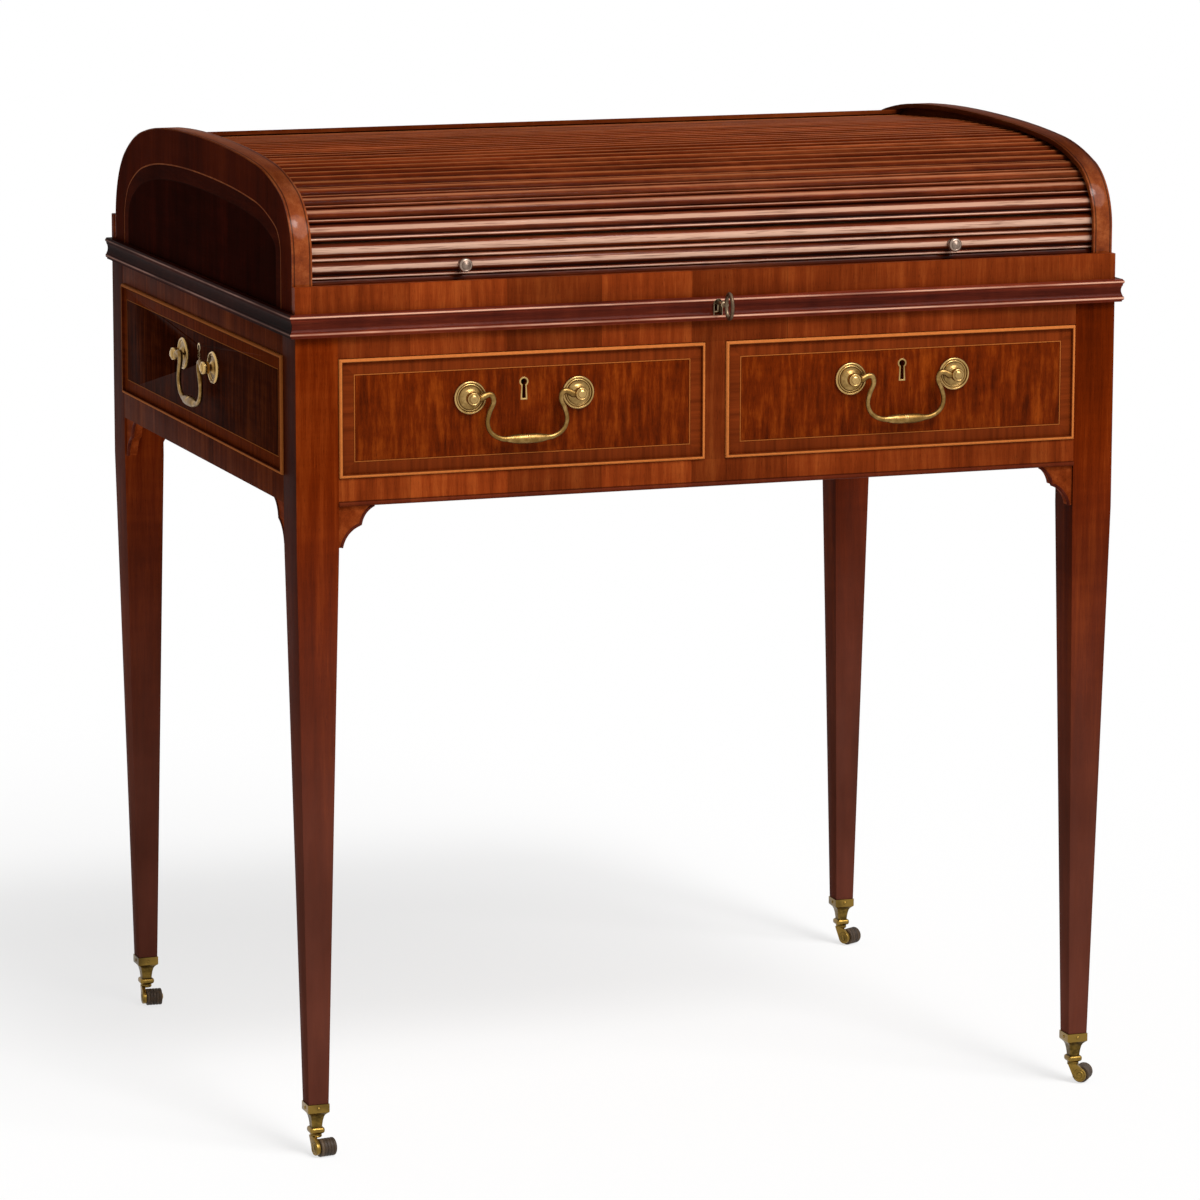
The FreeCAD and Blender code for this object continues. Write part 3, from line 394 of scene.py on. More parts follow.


# Legs grow duller towards the floor, partly wear and partly a painted reflection of the pale floor,
# and their side faces carry painted shade that deepens towards the top
legLook = {
    "wearAndSheen": (88, 50, 40), "from": 0.66, "to": 0.20, "share": 0.80, "mottle": (50, 50, 12),
    "mottleTone": (0.8, 0.6),
    "patch": (3.0, 3.0, 5.5), "patchShare": 1.1, "sideShadeDepth": 0.70, "sideTop": (0.36, 0.66),
    "sideways": (0.5, 0.9),
}


def legWear(start, spots, colour, rough, height):
    # down: the duller lower colour, partly wear and partly a painted reflection of the floor
    down = (legLook["from"] - spots[2]).between(0.0, legLook["from"] - legLook["to"]) * legLook["share"]
    gain, least = legLook["mottleTone"]
    mottle = start.grainy(spots, legLook["mottle"]) * gain + least
    patch = start.grainy(spots, legLook["patch"], 3.0) - 0.5
    colour = start.mix(down, colour, start.shade(tint(legLook["wearAndSheen"]), mottle))
    # painted shade on the side faces, deeper towards the top
    normal = start.node("ShaderNodeNewGeometry", output="Normal")
    sideways = abs(start.node("ShaderNodeSeparateXYZ", {}, {0: normal}, 0)).between(*legLook["sideways"])
    paintedSideShade = sideways * spots[2].between(*legLook["sideTop"]) * legLook["sideShadeDepth"]
    return start.shade(colour, (1 + patch * legLook["patchShare"]) * (1 - paintedSideShade)), rough, height


# Moulded edges: crests painted pale, partly wear and partly a painted highlight, and painted shade in the
# hollow.
# Heights are shares of the moulding's rise.
moulded = {
    "foot": 763.5, "rise": 21.3, "crests": ((0.17, 0.055), (0.89, 0.05)), "crestCore": 0.15,
    "hollow": 0.50, "hollowReach": (0.10, 0.30), "hollowShade": (0.5, 0.55),
    "worn": (7.0, 7.0, 1.5), "wornEdge": (0.36, 0.62), "wornShare": 0.7,
}


def mouldingWearSheenAndShade(pale, share):
    def dress(start, spots, colour, rough, height):
        rise = (spots[2] / mm - moulded["foot"]) * (1 / moulded["rise"])
        crest = 0.0
        for middle, reach in moulded["crests"]:
            crest = 1 - abs(rise - middle).between(reach * moulded["crestCore"], reach) + crest
        worn = start.grainy((spots[0], spots[1], rise), moulded["worn"], 4.0, 0.6)
        worn = worn.between(*moulded["wornEdge"])
        # painted shade in the hollow
        hollow = abs(rise - moulded["hollow"]).between(*moulded["hollowReach"])
        gain, least = moulded["hollowShade"]
        colour = start.shade(colour, hollow * gain + least)
        # pale crests: wear together with a painted highlight
        return start.mix(crest * worn.lift(moulded["wornShare"]) * share, colour, tint(pale)), rough, height

    return dress


# The rims of the end panels: dark lines just inside both arrises, and painted shade on top
rim = {"inset": 2.2, "line": (0.36, 0.9), "lineDark": 0.72, "top": (0.868, 0.903), "topShade": 0.45,
       "shine": 0.4}


def rimLines(start, spots, colour, rough, height):
    low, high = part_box("end_panel_right")
    edge = (abs(spots[0]) - low[0]).least(high[0] - abs(spots[0]))
    # up: the top of the rim, which gets painted shade
    up = spots[2].between(*rim["top"])
    line = edge.line(rim["inset"], rim["line"]).lift(rim["lineDark"])
    colour = start.shade(colour, line * (1 - up * rim["topShade"]))
    return colour, rough, height, (1 - up) * rim["shine"]


# Linen on the back of the curtain
linenLook = {
    "thread": 1.1, "warp": (122, 104, 78), "weft": (150, 132, 102), "weave": 0.4, "bump": 0.5,
    "bumpDepth": 0.0002,
    "dust": (92, 78, 60), "patch": 30, "patchEdge": (0.4, 0.7), "dustShare": 0.6,
}


def linen():
    made, start, shader = material("curtainLinen", {"Roughness": 0.9, "Specular IOR Level": 0.1})
    place = start.node("ShaderNodeTexCoord", output="Object")
    x, y, z = start.node("ShaderNodeSeparateXYZ", {}, {0: place}, (0, 1, 2))
    turn = 2 * math.pi / (linenLook["thread"] * mm)
    warp, weft = start.math("SINE", x * turn), start.math("SINE", (y + z) * turn)
    woven = (warp * weft).between(-linenLook["weave"], linenLook["weave"])
    dust = start.grainy((x, y, z), [linenLook["patch"]] * 3).between(*linenLook["patchEdge"])
    colour = start.mix(woven, tint(linenLook["warp"]), tint(linenLook["weft"]))
    colour = start.mix(dust * linenLook["dustShare"], colour, tint(linenLook["dust"]))
    start.cover(shader, colour, None, woven, linenLook["bump"], linenLook["bumpDepth"])
    return made


print("making finishes")
drawerFace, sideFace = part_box("drawer_front_right"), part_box("side_front_right")
finishes = {
    "leg_mahogany": wood("legWood",
                         {"grain": 2, "specular": 0.002, "tones": ((66, 17, 2), (94, 29, 3), (126, 50, 12))},
                         legWear),
    "case_mahogany": wood("caseWood", {"grain": 1, "specular": 0.0015}),
    "drawer_veneer": wood("drawerVeneer", {
        "grain": 2, "figure": 0.18, "across": 170.0, "along": 22.0, "stain": 0.12, "broad": 0.16,
        "figureAcross": 34.0,
        "tones": ((64, 18, 2), (98, 32, 3), (134, 56, 10))}, inlaidFront(drawerFace, 0)),
    # the front moulding's pale crest colour is a painted highlight together with wear
    "moulding_mahogany": wood("mouldingWood", {
        "grain": 0, "tones": ((62, 16, 9), (102, 36, 20), (140, 62, 34)), "specular": 0.006,
        "coat": 0.15, "coatRough": 0.10}, mouldingWearSheenAndShade((232, 176, 146), 0.85)),
    "tambour_mahogany": wood("slatWood", {
        "grain": 0, "tones": ((62, 17, 6), (104, 39, 15), (142, 68, 34)),
        "specular": 0.002, "coatRough": 0.09}, slatTones),
    "carcass_wood": wood("carcassWood", {
        "grain": 1, "tones": ((112, 76, 44), (158, 114, 70), (188, 146, 96)), "rough": (0.5, 0.7)}),
    "handle_brass": metal("handleBrass", {
        "bright": (196, 160, 100), "dull": (118, 88, 44), "stain": (84, 58, 28),
        "rough": (0.20, 0.42), "scale": 160.0, "bump": 0.08}),
    "caster_bronze": metal("casterBronze", {
        "bright": (136, 108, 50), "dull": (64, 50, 20), "stain": (46, 34, 18), "tarnish": 0.7,
        "scale": 220.0, "bump": 0.12}),
    "knob_metal": metal("knobMetal", {
        "bright": (152, 132, 118), "dull": (100, 82, 72), "stain": (84, 66, 58),
        "rough": (0.26, 0.46), "scale": 240.0}),
    "lock_metal": metal("lockMetal", {
        "bright": (160, 140, 112), "dull": (88, 70, 54), "stain": (60, 48, 40), "scale": 200.0}),
    "wheel_leather": wood("wheelLeather", {
        "grain": 0, "along": 300.0, "across": 60.0, "tones": ((26, 18, 12), (56, 42, 28), (92, 72, 50)),
        "rough": (0.45, 0.7), "specular": 0.3}),
    "desk_leather": wood("deskLeather", {
        "grain": 0, "along": 90.0, "across": 90.0, "tones": ((16, 36, 22), (30, 56, 36), (50, 76, 48)),
        "rough": (0.4, 0.55), "specular": 0.3, "pores": 0.2}, tooledBorder),
}
railWood = wood("railWood", {
    "grain": 2, "along": 9.0, "across": 170.0, "stain": 0.22,
    "tones": ((84, 28, 5), (114, 44, 12), (142, 66, 24))},
    crossbanded)
# the side fronts: darker tones and darker again by 0.62, painted shade
shadedSideVeneer = wood("shadedSideVeneer", {"grain": 2, "figure": 0.26, "across": 130.0, "along": 16.0, "broad": 0.22,
                                 "tones": ((36, 10, 3), (64, 22, 6), (92, 40, 14)), "specular": 0.0008},
                  inlaidFront(sideFace, 1, 0.62))
rimWood = wood("rimWood", {"grain": 1, "tones": ((86, 32, 10), (126, 56, 20), (158, 84, 40)),
                           "specular": 0.001, "coatRough": 0.12}, rimLines)
# the end panels' veneers: dark tones, painted shade on the sides
shadedPanelVeneers = {
    "Band": wood("panelBandVeneer",
                 {"grain": 2, "across": 40.0, "tones": ((44, 11, 3), (62, 17, 4), (82, 28, 8)),
                                     "specular": 0.0003}),
    "String": wood("boxwoodString", {
        "grain": 2, "specular": 0.002, "tones": ((84, 36, 14), (116, 56, 22), (142, 78, 34))}),
    "Inner": wood("panelInnerVeneer",
                  {"grain": 1, "across": 60.0, "tones": ((34, 8, 3), (50, 13, 4), (68, 22, 7)),
                                       "specular": 0.0003}),
    "Line": wood("darkLine",
                 {"grain": 2, "tones": ((24, 8, 4), (36, 12, 6), (50, 18, 8)), "specular": 0.0003}),
    "Field": wood("panelFieldVeneer", {
        "grain": 2, "across": 40.0, "figure": 0.2, "stain": 0.2, "specular": 0.0001,
        "tones": ((24, 5, 2), (36, 8, 3), (54, 14, 5))}),
}
curtainLinen = linen()
deepShadow = wood("keyholeDark", {"tones": ((8, 5, 4), (12, 8, 6), (18, 12, 8)), "specular": 0.0})


# Edges of the solids that stay: a small round on each arris, and curved faces that shade smooth
arris = {"width": 0.55, "steps": 2, "fold": 30.0, "pieceFold": 32.0, "smooth": 38.0, "weld": 0.02}


def shadingGroup():
    tree = bpy.data.node_groups.new("smoothByFold", "GeometryNodeTree")
    tree.interface.new_socket("Geometry", in_out="INPUT", socket_type="NodeSocketGeometry")
    tree.interface.new_socket("Geometry", in_out="OUTPUT", socket_type="NodeSocketGeometry")
    start = Wire(tree)
    shape = start.node("NodeGroupInput")
    fold = start.node("GeometryNodeInputMeshEdgeAngle", output="Unsigned Angle")
    soft = start.node("FunctionNodeCompare", {"data_type": "FLOAT", "operation": "LESS_THAN"},
                      {"A": fold, "B": math.radians(arris["smooth"])}, "Result")
    onEdges = start.node("GeometryNodeSetShadeSmooth", {"domain": "EDGE"},
                         {"Geometry": shape, "Shade Smooth": soft})
    onFaces = start.node("GeometryNodeSetShadeSmooth", {"domain": "FACE"}, {"Geometry": onEdges})
    end = tree.nodes.new("NodeGroupOutput")
    start.put(end.inputs[0], onFaces)
    return tree


smoothByFold = shadingGroup()


def roundArrises(piece, width, fold):
    bevel = piece.modifiers.new("arris", "BEVEL")
    bevel.width, bevel.segments = width * mm, arris["steps"]
    bevel.limit_method, bevel.angle_limit = "ANGLE", math.radians(fold)
    return bevel


def shadeByFold(piece):
    piece.modifiers.new("shading", "NODES").node_group = smoothByFold


def easeEdges(piece, width):
    piece.modifiers.new("weld", "WELD").merge_threshold = arris["weld"] * mm
    if width:
        roundArrises(piece, width, arris["fold"]).use_clamp_overlap = True
    shadeByFold(piece)


plainSolids = ("leg_", "front_rails", "side_rails", "back_panel", "rear_rail", "corner_brackets", "end_panel",
               "slide_front", "slide_board", "drawer_front", "drawer_box", "side_front", "pigeonhole_nest",
               "case_runners")
# the side rails: darker than the front rails, painted shade
shadedSideWood = wood("shadedSideRailWood", {"grain": 2, "along": 9.0, "across": 150.0, "specular": 0.0015,
                                 "tones": ((48, 16, 5), (78, 30, 10), (104, 48, 20))})
# the side mouldings: darker than the front moulding, painted shade, with paler crests
shadedSideMoulding = wood("shadedSideMouldingWood", {"grain": 1, "tones": ((26, 8, 5), (46, 15, 9), (70, 28, 16)),
                                         "specular": 0.0005, "coat": 0.04, "coatRough": 0.10},
                    mouldingWearSheenAndShade((186, 142, 126), 0.6))
backWood = wood("backWood",
                {"specular": 0.0015, "tones": ((60, 20, 5), (96, 36, 10), (128, 58, 22)), "figure": 0.2})
backBoard = wood("backBoard",
                 {"along": 4.0, "across": 70.0, "tones": ((92, 60, 34), (132, 92, 56), (160, 120, 78)),
                               "rough": (0.55, 0.75)})
ownWood = {
    "side_front": shadedSideVeneer, "end_panel": rimWood, "front_rails": railWood, "slide_front": railWood,
    "side_rails": shadedSideWood, "rear_cover": backWood, "rear_rail": backWood, "back_panel": backBoard,
    "case_mouldings": shadedSideMoulding,
}
for node, piece in frame["nodes"].items():
    chosen = next((look for start, look in ownWood.items() if node.startswith(start)),
                  finishes[slotOfNode[node]])
    piece.data.materials.clear()
    piece.data.materials.append(chosen)
    easeEdges(piece, arris["width"] if node.startswith(plainSolids) else 0)


# Shapes are gathered corner by corner, in millimetres, and then placed on the desk
class Shape:
    def __init__(self):
        self.corners, self.faces, self.finish, self.tones = [], [], [], []

    def add(self, part, place=None, finish=0, tone=1.0):
        corners, faces = part
        base = len(self.corners)
        self.corners += [tuple(place @ Vector(corner)) for corner in corners] if place else corners
        self.faces += [[base + i for i in face] for face in faces]
        self.finish += [finish] * len(faces)
        self.tones += [tone] * len(faces)
        return self


def framed(origin, right, up, out):  # a matrix from millimetres in a part's own frame to metres on the desk
    columns = [Vector(axis) * mm for axis in (right, up, out)]
    return Matrix.Translation(origin) @ Matrix(columns).transposed().to_4x4()


def onDesk(x=0.0, y=0.0, z=0.0):  # millimetres from the middle of the floor
    return framed(Vector((x, y, z)) * mm, (1, 0, 0), (0, 1, 0), (0, 0, 1))


def facing(x, y, z):  # a frame that looks out at the desk's front, set down at millimetres
    return framed(Vector((x, y, z)) * mm, (1, 0, 0), (0, 0, 1), (0, -1, 0))


def angles(first, last, steps):  # from the first angle to the last, both counted
    return [first + (last - first) * k / steps for k in range(steps + 1)]


def fullTurn(steps):
    return angles(0, 2 * math.pi, steps)[:-1]


def loft(rings, closed=False):
    # rings of equal length, each a loop of points; closed joins the last ring to the first
    steps = len(rings[0])
    corners = [tuple(point) for ring in rings for point in ring]
    faces = []
    pairs = list(zip(range(len(rings)), range(1, len(rings)))) + ([(len(rings) - 1, 0)] if closed else [])
    for a, b in pairs:
        for i in range(steps):
            j = (i + 1) % steps
            faces.append([a * steps + i, a * steps + j, b * steps + j, b * steps + i])
    if not closed:
        faces.append(list(range(steps))[::-1])
        faces.append([(len(rings) - 1) * steps + i for i in range(steps)])
    return corners, faces


def turned(profile, steps=48):
    # a profile of (radius, height) from the lowest ring to the highest, spun round the upright axis
    around = [(math.cos(a), math.sin(a)) for a in fullTurn(steps)]
    return loft([[(max(r, 0.01) * x, max(r, 0.01) * y, h) for x, y in around] for r, h in profile])


def plate(outline, low, high):
    return loft([[(x, y, low) for x, y in outline], [(x, y, high) for x, y in outline]])


def bandPlate(outer, inner, low, high):  # a flat band between two loops of equal length
    return loft([[(x, y, low) for x, y in outer], [(x, y, high) for x, y in outer],
                 [(x, y, high) for x, y in inner], [(x, y, low) for x, y in inner]], closed=True)


def brick(x0, x1, y0, y1, z0, z1):
    return plate([(x0, y0), (x1, y0), (x1, y1), (x0, y1)], z0, z1)


def softCurve(points, steps):  # a smooth line through flat points
    line = []
    for i in range(len(points) - 1):
        before, a, b, after = (Vector(points[max(i - 1, 0)]), Vector(points[i]), Vector(points[i + 1]),
                               Vector(points[min(i + 2, len(points) - 1)]))
        for k in range(steps):
            t = k / steps
            line.append(0.5 * (2 * a + (b - before) * t + (2 * before - 5 * a + 4 * b - after) * t * t
                               + (3 * a - before - 3 * b + after) * t ** 3))
    return line + [Vector(points[-1])]


def lookUp(table, at):  # a value eased between the entries of a table of (place, value)
    for (a, first), (b, second) in zip(table, table[1:]):
        if at <= b:
            share = min(max((at - a) / (b - a), 0), 1)
            return first + (second - first) * share * share * (3 - 2 * share)
    return table[-1][1]


def tube(path, widths, steps=18):
    # a round rod along a flat path in the plane of its first two numbers; widths are (distance, radius)
    run, rings = 0.0, []
    for i, here in enumerate(path):
        if i:
            run += (here - path[i - 1]).length
        ahead = (path[min(i + 1, len(path) - 1)] - path[max(i - 1, 0)]).normalized()
        side = Vector((ahead.y, -ahead.x, 0))
        radius = lookUp(widths, run)
        rings.append([here + (side * math.cos(a) + Vector((0, 0, 1)) * math.sin(a)) * radius
                      for a in fullTurn(steps)])
    return loft(rings)


def stand(name, data):
    made = bpy.data.objects.new(name, data)
    bpy.context.scene.collection.objects.link(made)
    return made


def makePiece(name, shape, body, slot, nodes=(), finishList=None, bevel=0.0):
    mesh = bpy.data.meshes.new(name)
    mesh.from_pydata(shape.corners, [], shape.faces)
    for finish in finishList or [finishes[slot]]:
        mesh.materials.append(finish)
    mesh.polygons.foreach_set("material_index", shape.finish)
    mesh.polygons.foreach_set("use_smooth", [True] * len(shape.faces))
    tones = mesh.attributes.new("slatTone", "FLOAT", "FACE")
    tones.data.foreach_set("value", shape.tones)
    mesh.update()
    piece = stand(name, mesh)
    if bevel:
        roundArrises(piece, bevel, arris["pieceFold"])
    shadeByFold(piece)
    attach(piece, body)
    if nodes:
        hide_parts(*nodes)


# Swan-neck handles: two posts on raised roses and a bail between their heads
print("turning the handles")
handle = {
    "pivot": 9.6, "span": 52.0, "halfLength": 90.5,
    "rose": [(15.6, 0), (15.6, 1.2), (15.3, 2.2), (14.5, 2.95), (13.6, 2.9), (12.9, 2.2), (12.6, 1.7),
             (12.2, 2.05),
             (11.7, 2.2), (11.2, 1.8), (10.6, 1.4), (8.6, 1.45), (7.2, 1.9), (6.0, 2.8), (5.0, 3.9),
             (3.7, 4.5),
             (3.4, 5.0), (3.6, 5.5), (5.2, 5.8), (6.1, 6.8), (6.3, 9.0), (6.2, 11.3), (5.7, 12.5),
             (5.1, 12.9), (4.6, 12.5),
             (4.1, 12.5), (3.7, 13.5), (2.8, 14.1), (1.3, 14.4), (0, 14.4)],
    "swan": [(-50.6, 0), (-47.5, 0), (-44.6, 0.1), (-39.5, 2.8), (-34.2, 2.6), (-32.4, -4.0), (-36.2, -13.0),
             (-38.2, -22.5), (-35.4, -31.0), (-28.0, -36.6), (-17.0, -38.6)],
    "widths": [(0, 1.75), (4.4, 1.8), (5.0, 2.8), (6.2, 3.5), (8.2, 3.4), (12.0, 2.9), (18.0, 2.55),
               (30.0, 2.25),
               (48.0, 2.1), (60.0, 2.2), (68.0, 2.5), (70.0, 2.9), (71.2, 2.5), (74.0, 3.4), (79.5, 4.5),
               (84.5, 4.7)],
    "ring": [(4.3, -1.8), (4.6, -1.3), (4.72, -0.8), (4.55, -0.4), (4.72, 0), (4.55, 0.4), (4.72, 0.8),
             (4.6, 1.3), (4.3, 1.8)],
}


def handleFrame(joint, out):
    right = Vector((0, 0, 1)).cross(Vector(out))
    return framed(hingeAt[joint] - Vector(out) * handle["pivot"] * mm, right, (0, 0, 1), out)


def addPosts(shape, place):
    for side in (-1, 1):
        shape.add(turned(handle["rose"], 56), place @ Matrix.Translation((side * handle["span"], 0, 0)))


def makeBail(name, body, joint, out):
    left = [Vector((x, y, handle["pivot"])) for x, y in handle["swan"]]
    right = [Vector((-point.x, point.y, point.z)) for point in left[::-1]]
    path = softCurve(left + right, 7)
    length = sum((b - a).length for a, b in zip(path, path[1:]))
    half = handle["widths"]
    scale = (length / 2) / handle["halfLength"]
    widths = [(at * scale, r) for at, r in half] + [(length - at * scale, r) for at, r in half[::-1]]
    place = handleFrame(joint, out)
    shape = Shape().add(tube(path, widths, 20), place)
    drop = handle["swan"][-1][1]
    bead = place @ Matrix.Translation((0, drop, handle["pivot"])) @ Matrix.Rotation(math.pi / 2, 4, "Y")
    shape.add(turned(handle["ring"], 32), bead)
    makePiece(name + "Brass", shape, body, "handle_brass", [name])


keyhole = {"outer": (4.4, 2.7, 3.3, 16.6), "inner": (2.9, 1.35, 1.8, 15.2), "liner": 1.9, "proud": 0.25,
           "eye": 714.6,
           "shadow": (-0.4, 0.05)}


def keyholeLoop(eye, slotTop, slotFoot, drop):  # a round eye over a slot that widens to its foot
    low = math.asin(slotTop / eye)
    loop = [(eye * math.sin(a), eye * math.cos(a)) for a in angles(low - math.pi, math.pi - low, 28)]
    return [(-x, y) for x, y in loop] + [(-slotFoot, -drop), (slotFoot, -drop)]


def addKeyhole(shape, place, low, high):
    shape.add(bandPlate(keyholeLoop(*keyhole["outer"]), keyholeLoop(*keyhole["inner"]), low, high), place)


drawerLock = {"half": 22.0, "top": 739.4, "drop": 34.0, "depth": 6.0, "behind": 20, "screwInset": 4.5,
              "screwSunk": 0.2,
              "screw": [(2.6, 0), (2.6, 0.5), (2.0, 0.9), (0, 1.0)]}


def makeDrawerBrass(side):
    joint = "drawer_bail_swing_" + side
    place = handleFrame(joint, (0, -1, 0))
    middle = hingeAt[joint].x / mm
    shape = Shape()
    addPosts(shape, place)
    addKeyhole(shape, facing(middle, caseFront, keyhole["eye"]), -keyhole["liner"], keyhole["proud"])
    half, drop, depth, inset = [drawerLock[size] for size in ("half", "drop", "depth", "screwInset")]
    behind = caseFront + drawerLock["behind"]
    shape.add(brick(-half, half, -drop, 0, -depth, 0), facing(middle, behind, drawerLock["top"]))
    screwPlace = framed(Vector((middle, behind + depth - drawerLock["screwSunk"], drawerLock["top"])) * mm,
                        (-1, 0, 0), (0, 0, 1), (0, 1, 0))
    for x in (-half + inset, half - inset):
        for y in (-drop + inset, -inset):
            shape.add(turned(drawerLock["screw"], 20), screwPlace @ Matrix.Translation((x, y, 0)))
    makePiece("drawerFittings" + side.title(), shape, "drawer_" + side, "handle_brass",
              ["drawer_brass_" + side],
              bevel=0.25)


sides = ("left", -1), ("right", 1)
for side, sign in sides:
    makeDrawerBrass(side)
    makeBail("drawer_bail_" + side, "drawer_bail_" + side, "drawer_bail_swing_" + side, (0, -1, 0))
    makeBail("side_bail_" + side, "side_bail_" + side, "side_bail_swing_" + side, (sign, 0, 0))
sidePosts, sideKeyholes, sideHoles = Shape(), Shape(), Shape()
for side, sign in sides:
    addPosts(sidePosts, handleFrame("side_bail_swing_" + side, (sign, 0, 0)))
    face = framed(Vector((sign * caseSide, hingeAt["side_bail_swing_" + side].y / mm, keyhole["eye"])) * mm,
                  (0, sign, 0), (0, 0, 1), (sign, 0, 0))
    addKeyhole(sideKeyholes, face, keyhole["shadow"][0], keyhole["proud"])
    sideHoles.add(plate(keyholeLoop(*keyhole["inner"]), *keyhole["shadow"]), face)
makePiece("sidePostsBrass", sidePosts, "case", "handle_brass", ["side_posts"])
makePiece("sideKeyholeLiners", sideKeyholes, "case", "handle_brass")
makePiece("sideKeyholeShadows", sideHoles, "case", "drawer_veneer", (), [deepShadow])


# Key, and the brass round the slide's keyhole
key = {
    "height": 779.6, "bowAt": -328.5, "bow": (7.9, 11.2), "bowWidths": (2.0, 1.75),
    "shank": [(0.3, -320.4), (2.6, -320.0), (3.1, -318.8), (2.4, -317.6), (1.9, -317.0), (1.9, -316.0),
              (2.6, -315.7),
              (3.0, -315.1), (2.6, -314.4), (2.0, -314.0), (1.8, -312.0), (1.8, -275.6), (1.4, -275.1),
              (0.3, -275.1)],
    "bit": (-282.5, -277.5, 7.0, 2.2), "notch": (2.0, 3.0, 2.2),
}


def makeKey():
    across, upright = key["bow"]
    flat, thick = key["bowWidths"]
    rings = []
    for a in fullTurn(56):
        centre = Vector((0, key["bowAt"] + across * math.cos(a), key["height"] + upright * math.sin(a)))
        outward = Vector((0, math.cos(a) / across, math.sin(a) / upright)).normalized()
        rings.append([centre + outward * flat * math.cos(b) + Vector((1, 0, 0)) * thick * math.sin(b)
                      for b in fullTurn(16)])
    shape = Shape().add(loft(rings, closed=True), onDesk())
    shank = framed(Vector((0, 0, key["height"])) * mm, (-1, 0, 0), (0, 0, 1), (0, 1, 0))
    shape.add(turned(key["shank"], 32), shank)
    front, back, drop, thickness = key["bit"]
    start, stop, cut = key["notch"]
    start, stop = front + start, front + stop
    for near, far, foot in ((front, start, drop), (start, stop, drop - cut), (stop, back, drop)):
        shape.add(brick(-thickness / 2, thickness / 2, near, far, -foot, 0), onDesk(0, 0, key["height"]))
    makePiece("keySteel", shape, "key", "lock_metal", ["key"])


makeKey()
escutcheon = {"outer": (5.6, 4.3, 4.6, 12.6), "inner": (2.9, 1.8, 1.8, 10.8), "thickness": 0.7,
              "lining": (4.35, 4.3, 11.4), "lined": (3.85, 3.8, 11.0), "reach": 6.6, "sunk": 0.44,
              "plateShare": 0.76}
escutcheonFront = facing(0, caseFront, key["height"] - escutcheon["sunk"])


def openLoop(eye, slotFoot, drop):  # an arch with straight sides
    arc = [(eye * math.cos(a), eye * math.sin(a)) for a in angles(0, math.pi, 24)]
    return arc + [(-slotFoot, -drop), (slotFoot, -drop)]


lockPlate = Shape()
narrow = Matrix.Diagonal((escutcheon["plateShare"], escutcheon["plateShare"], 1, 1))
outer, inner = [keyholeLoop(*escutcheon[loop]) for loop in ("outer", "inner")]
lockPlate.add(bandPlate(outer, inner, 0.0, escutcheon["thickness"]),
              escutcheonFront @ Matrix.Translation((0, escutcheon["sunk"], 0)) @ narrow)
outer, inner = [openLoop(*escutcheon[loop]) for loop in ("lining", "lined")]
lockPlate.add(bandPlate(outer, inner, 0.0, escutcheon["reach"]), escutcheonFront)
makePiece("keyholePlate", lockPlate, "slide", "lock_metal", bevel=0.1)


# Casters: a square collar pinned to the leg, a hollow neck, a rolled ring, a horn and a leather wheel
print("casting the casters")
caster = {
    "cup": [(50.3, 10.4, 0.6), (42.9, 10.4, 0.6), (42.2, 10.1, 0.8), (41.5, 9.2, 1.0), (39.6, 7.4, 1.2),
            (37.5, 6.4, 1.2), (34.0, 5.6, 1.2), (30.5, 5.15, 1.2), (28.0, 4.95, 1.4), (27.4, 5.0, 1.6),
            (27.0, 5.9, 2.0), (26.4, 6.7, 2.4), (25.4, 7.1, 2.6), (24.1, 7.15, 2.6), (22.8, 7.0, 2.6),
            (21.9, 6.4, 2.8), (21.4, 5.6, 3.4), (20.8, 5.5, 5.49), (19.5, 5.5, 5.49)],
    "pin": [(1.8, -0.4), (1.8, 0.1), (1.5, 0.5), (0.8, 0.8), (0, 0.85)], "pinHeight": 46.2,
    "head": [(0.01, 17.5), (4.8, 17.5), (5.4, 17.8), (5.6, 18.3), (5.6, 18.9), (5.3, 19.2), (0.01, 19.2)],
    "stem": [(2.4, 19.0), (2.4, 39.0), (0.01, 39.2)],
    "arm": (-5.5, -1.9), "trail": 8.0, "axle": 8.6, "boss": 6.6, "armTop": (-4.6, 3.8, 19.2), "shift": 6.2,
    "bossRings": [(6.5, -0.3), (6.5, 0.15), (6.0, 0.45), (5.2, 0.4), (4.9, 0.1), (4.5, 0.1), (4.2, 0.5),
                  (3.4, 0.75),
                  (2.9, 0.5), (2.6, 0.55), (1.6, 1.0), (0, 1.1)],
    "nut": [(3.2, 0), (3.3, 0.5), (2.9, 1.1), (1.7, 1.4), (1.3, 1.1), (0, 1.15)], "nutAt": 14.3,
    "axleRadius": 1.55, "axleEnd": 15.0,
    "turns": {"front_left": 10.0, "front_right": 50.0, "back_left": -5.0, "back_right": 28.0},
}


def roundedSquare(half, corner, height, steps=6):
    ring = []
    for quarter in range(4):
        middle = math.pi / 4 + quarter * math.pi / 2
        cx = (half - corner) * (1 if math.cos(middle) > 0 else -1)
        cy = (half - corner) * (1 if math.sin(middle) > 0 else -1)
        ring += [(cx + corner * math.cos(a), cy + corner * math.sin(a), height)
                 for a in angles(quarter * math.pi / 2, (quarter + 1) * math.pi / 2, steps)]
    return ring


def cornerPlace(corner):
    spot = hingeAt["swivel_" + corner]
    turn = Matrix.Rotation(math.radians(caster["turns"][corner]), 4, "Z")
    return Matrix.Translation((spot.x, spot.y, 0)) @ turn @ Matrix.Scale(mm, 4)


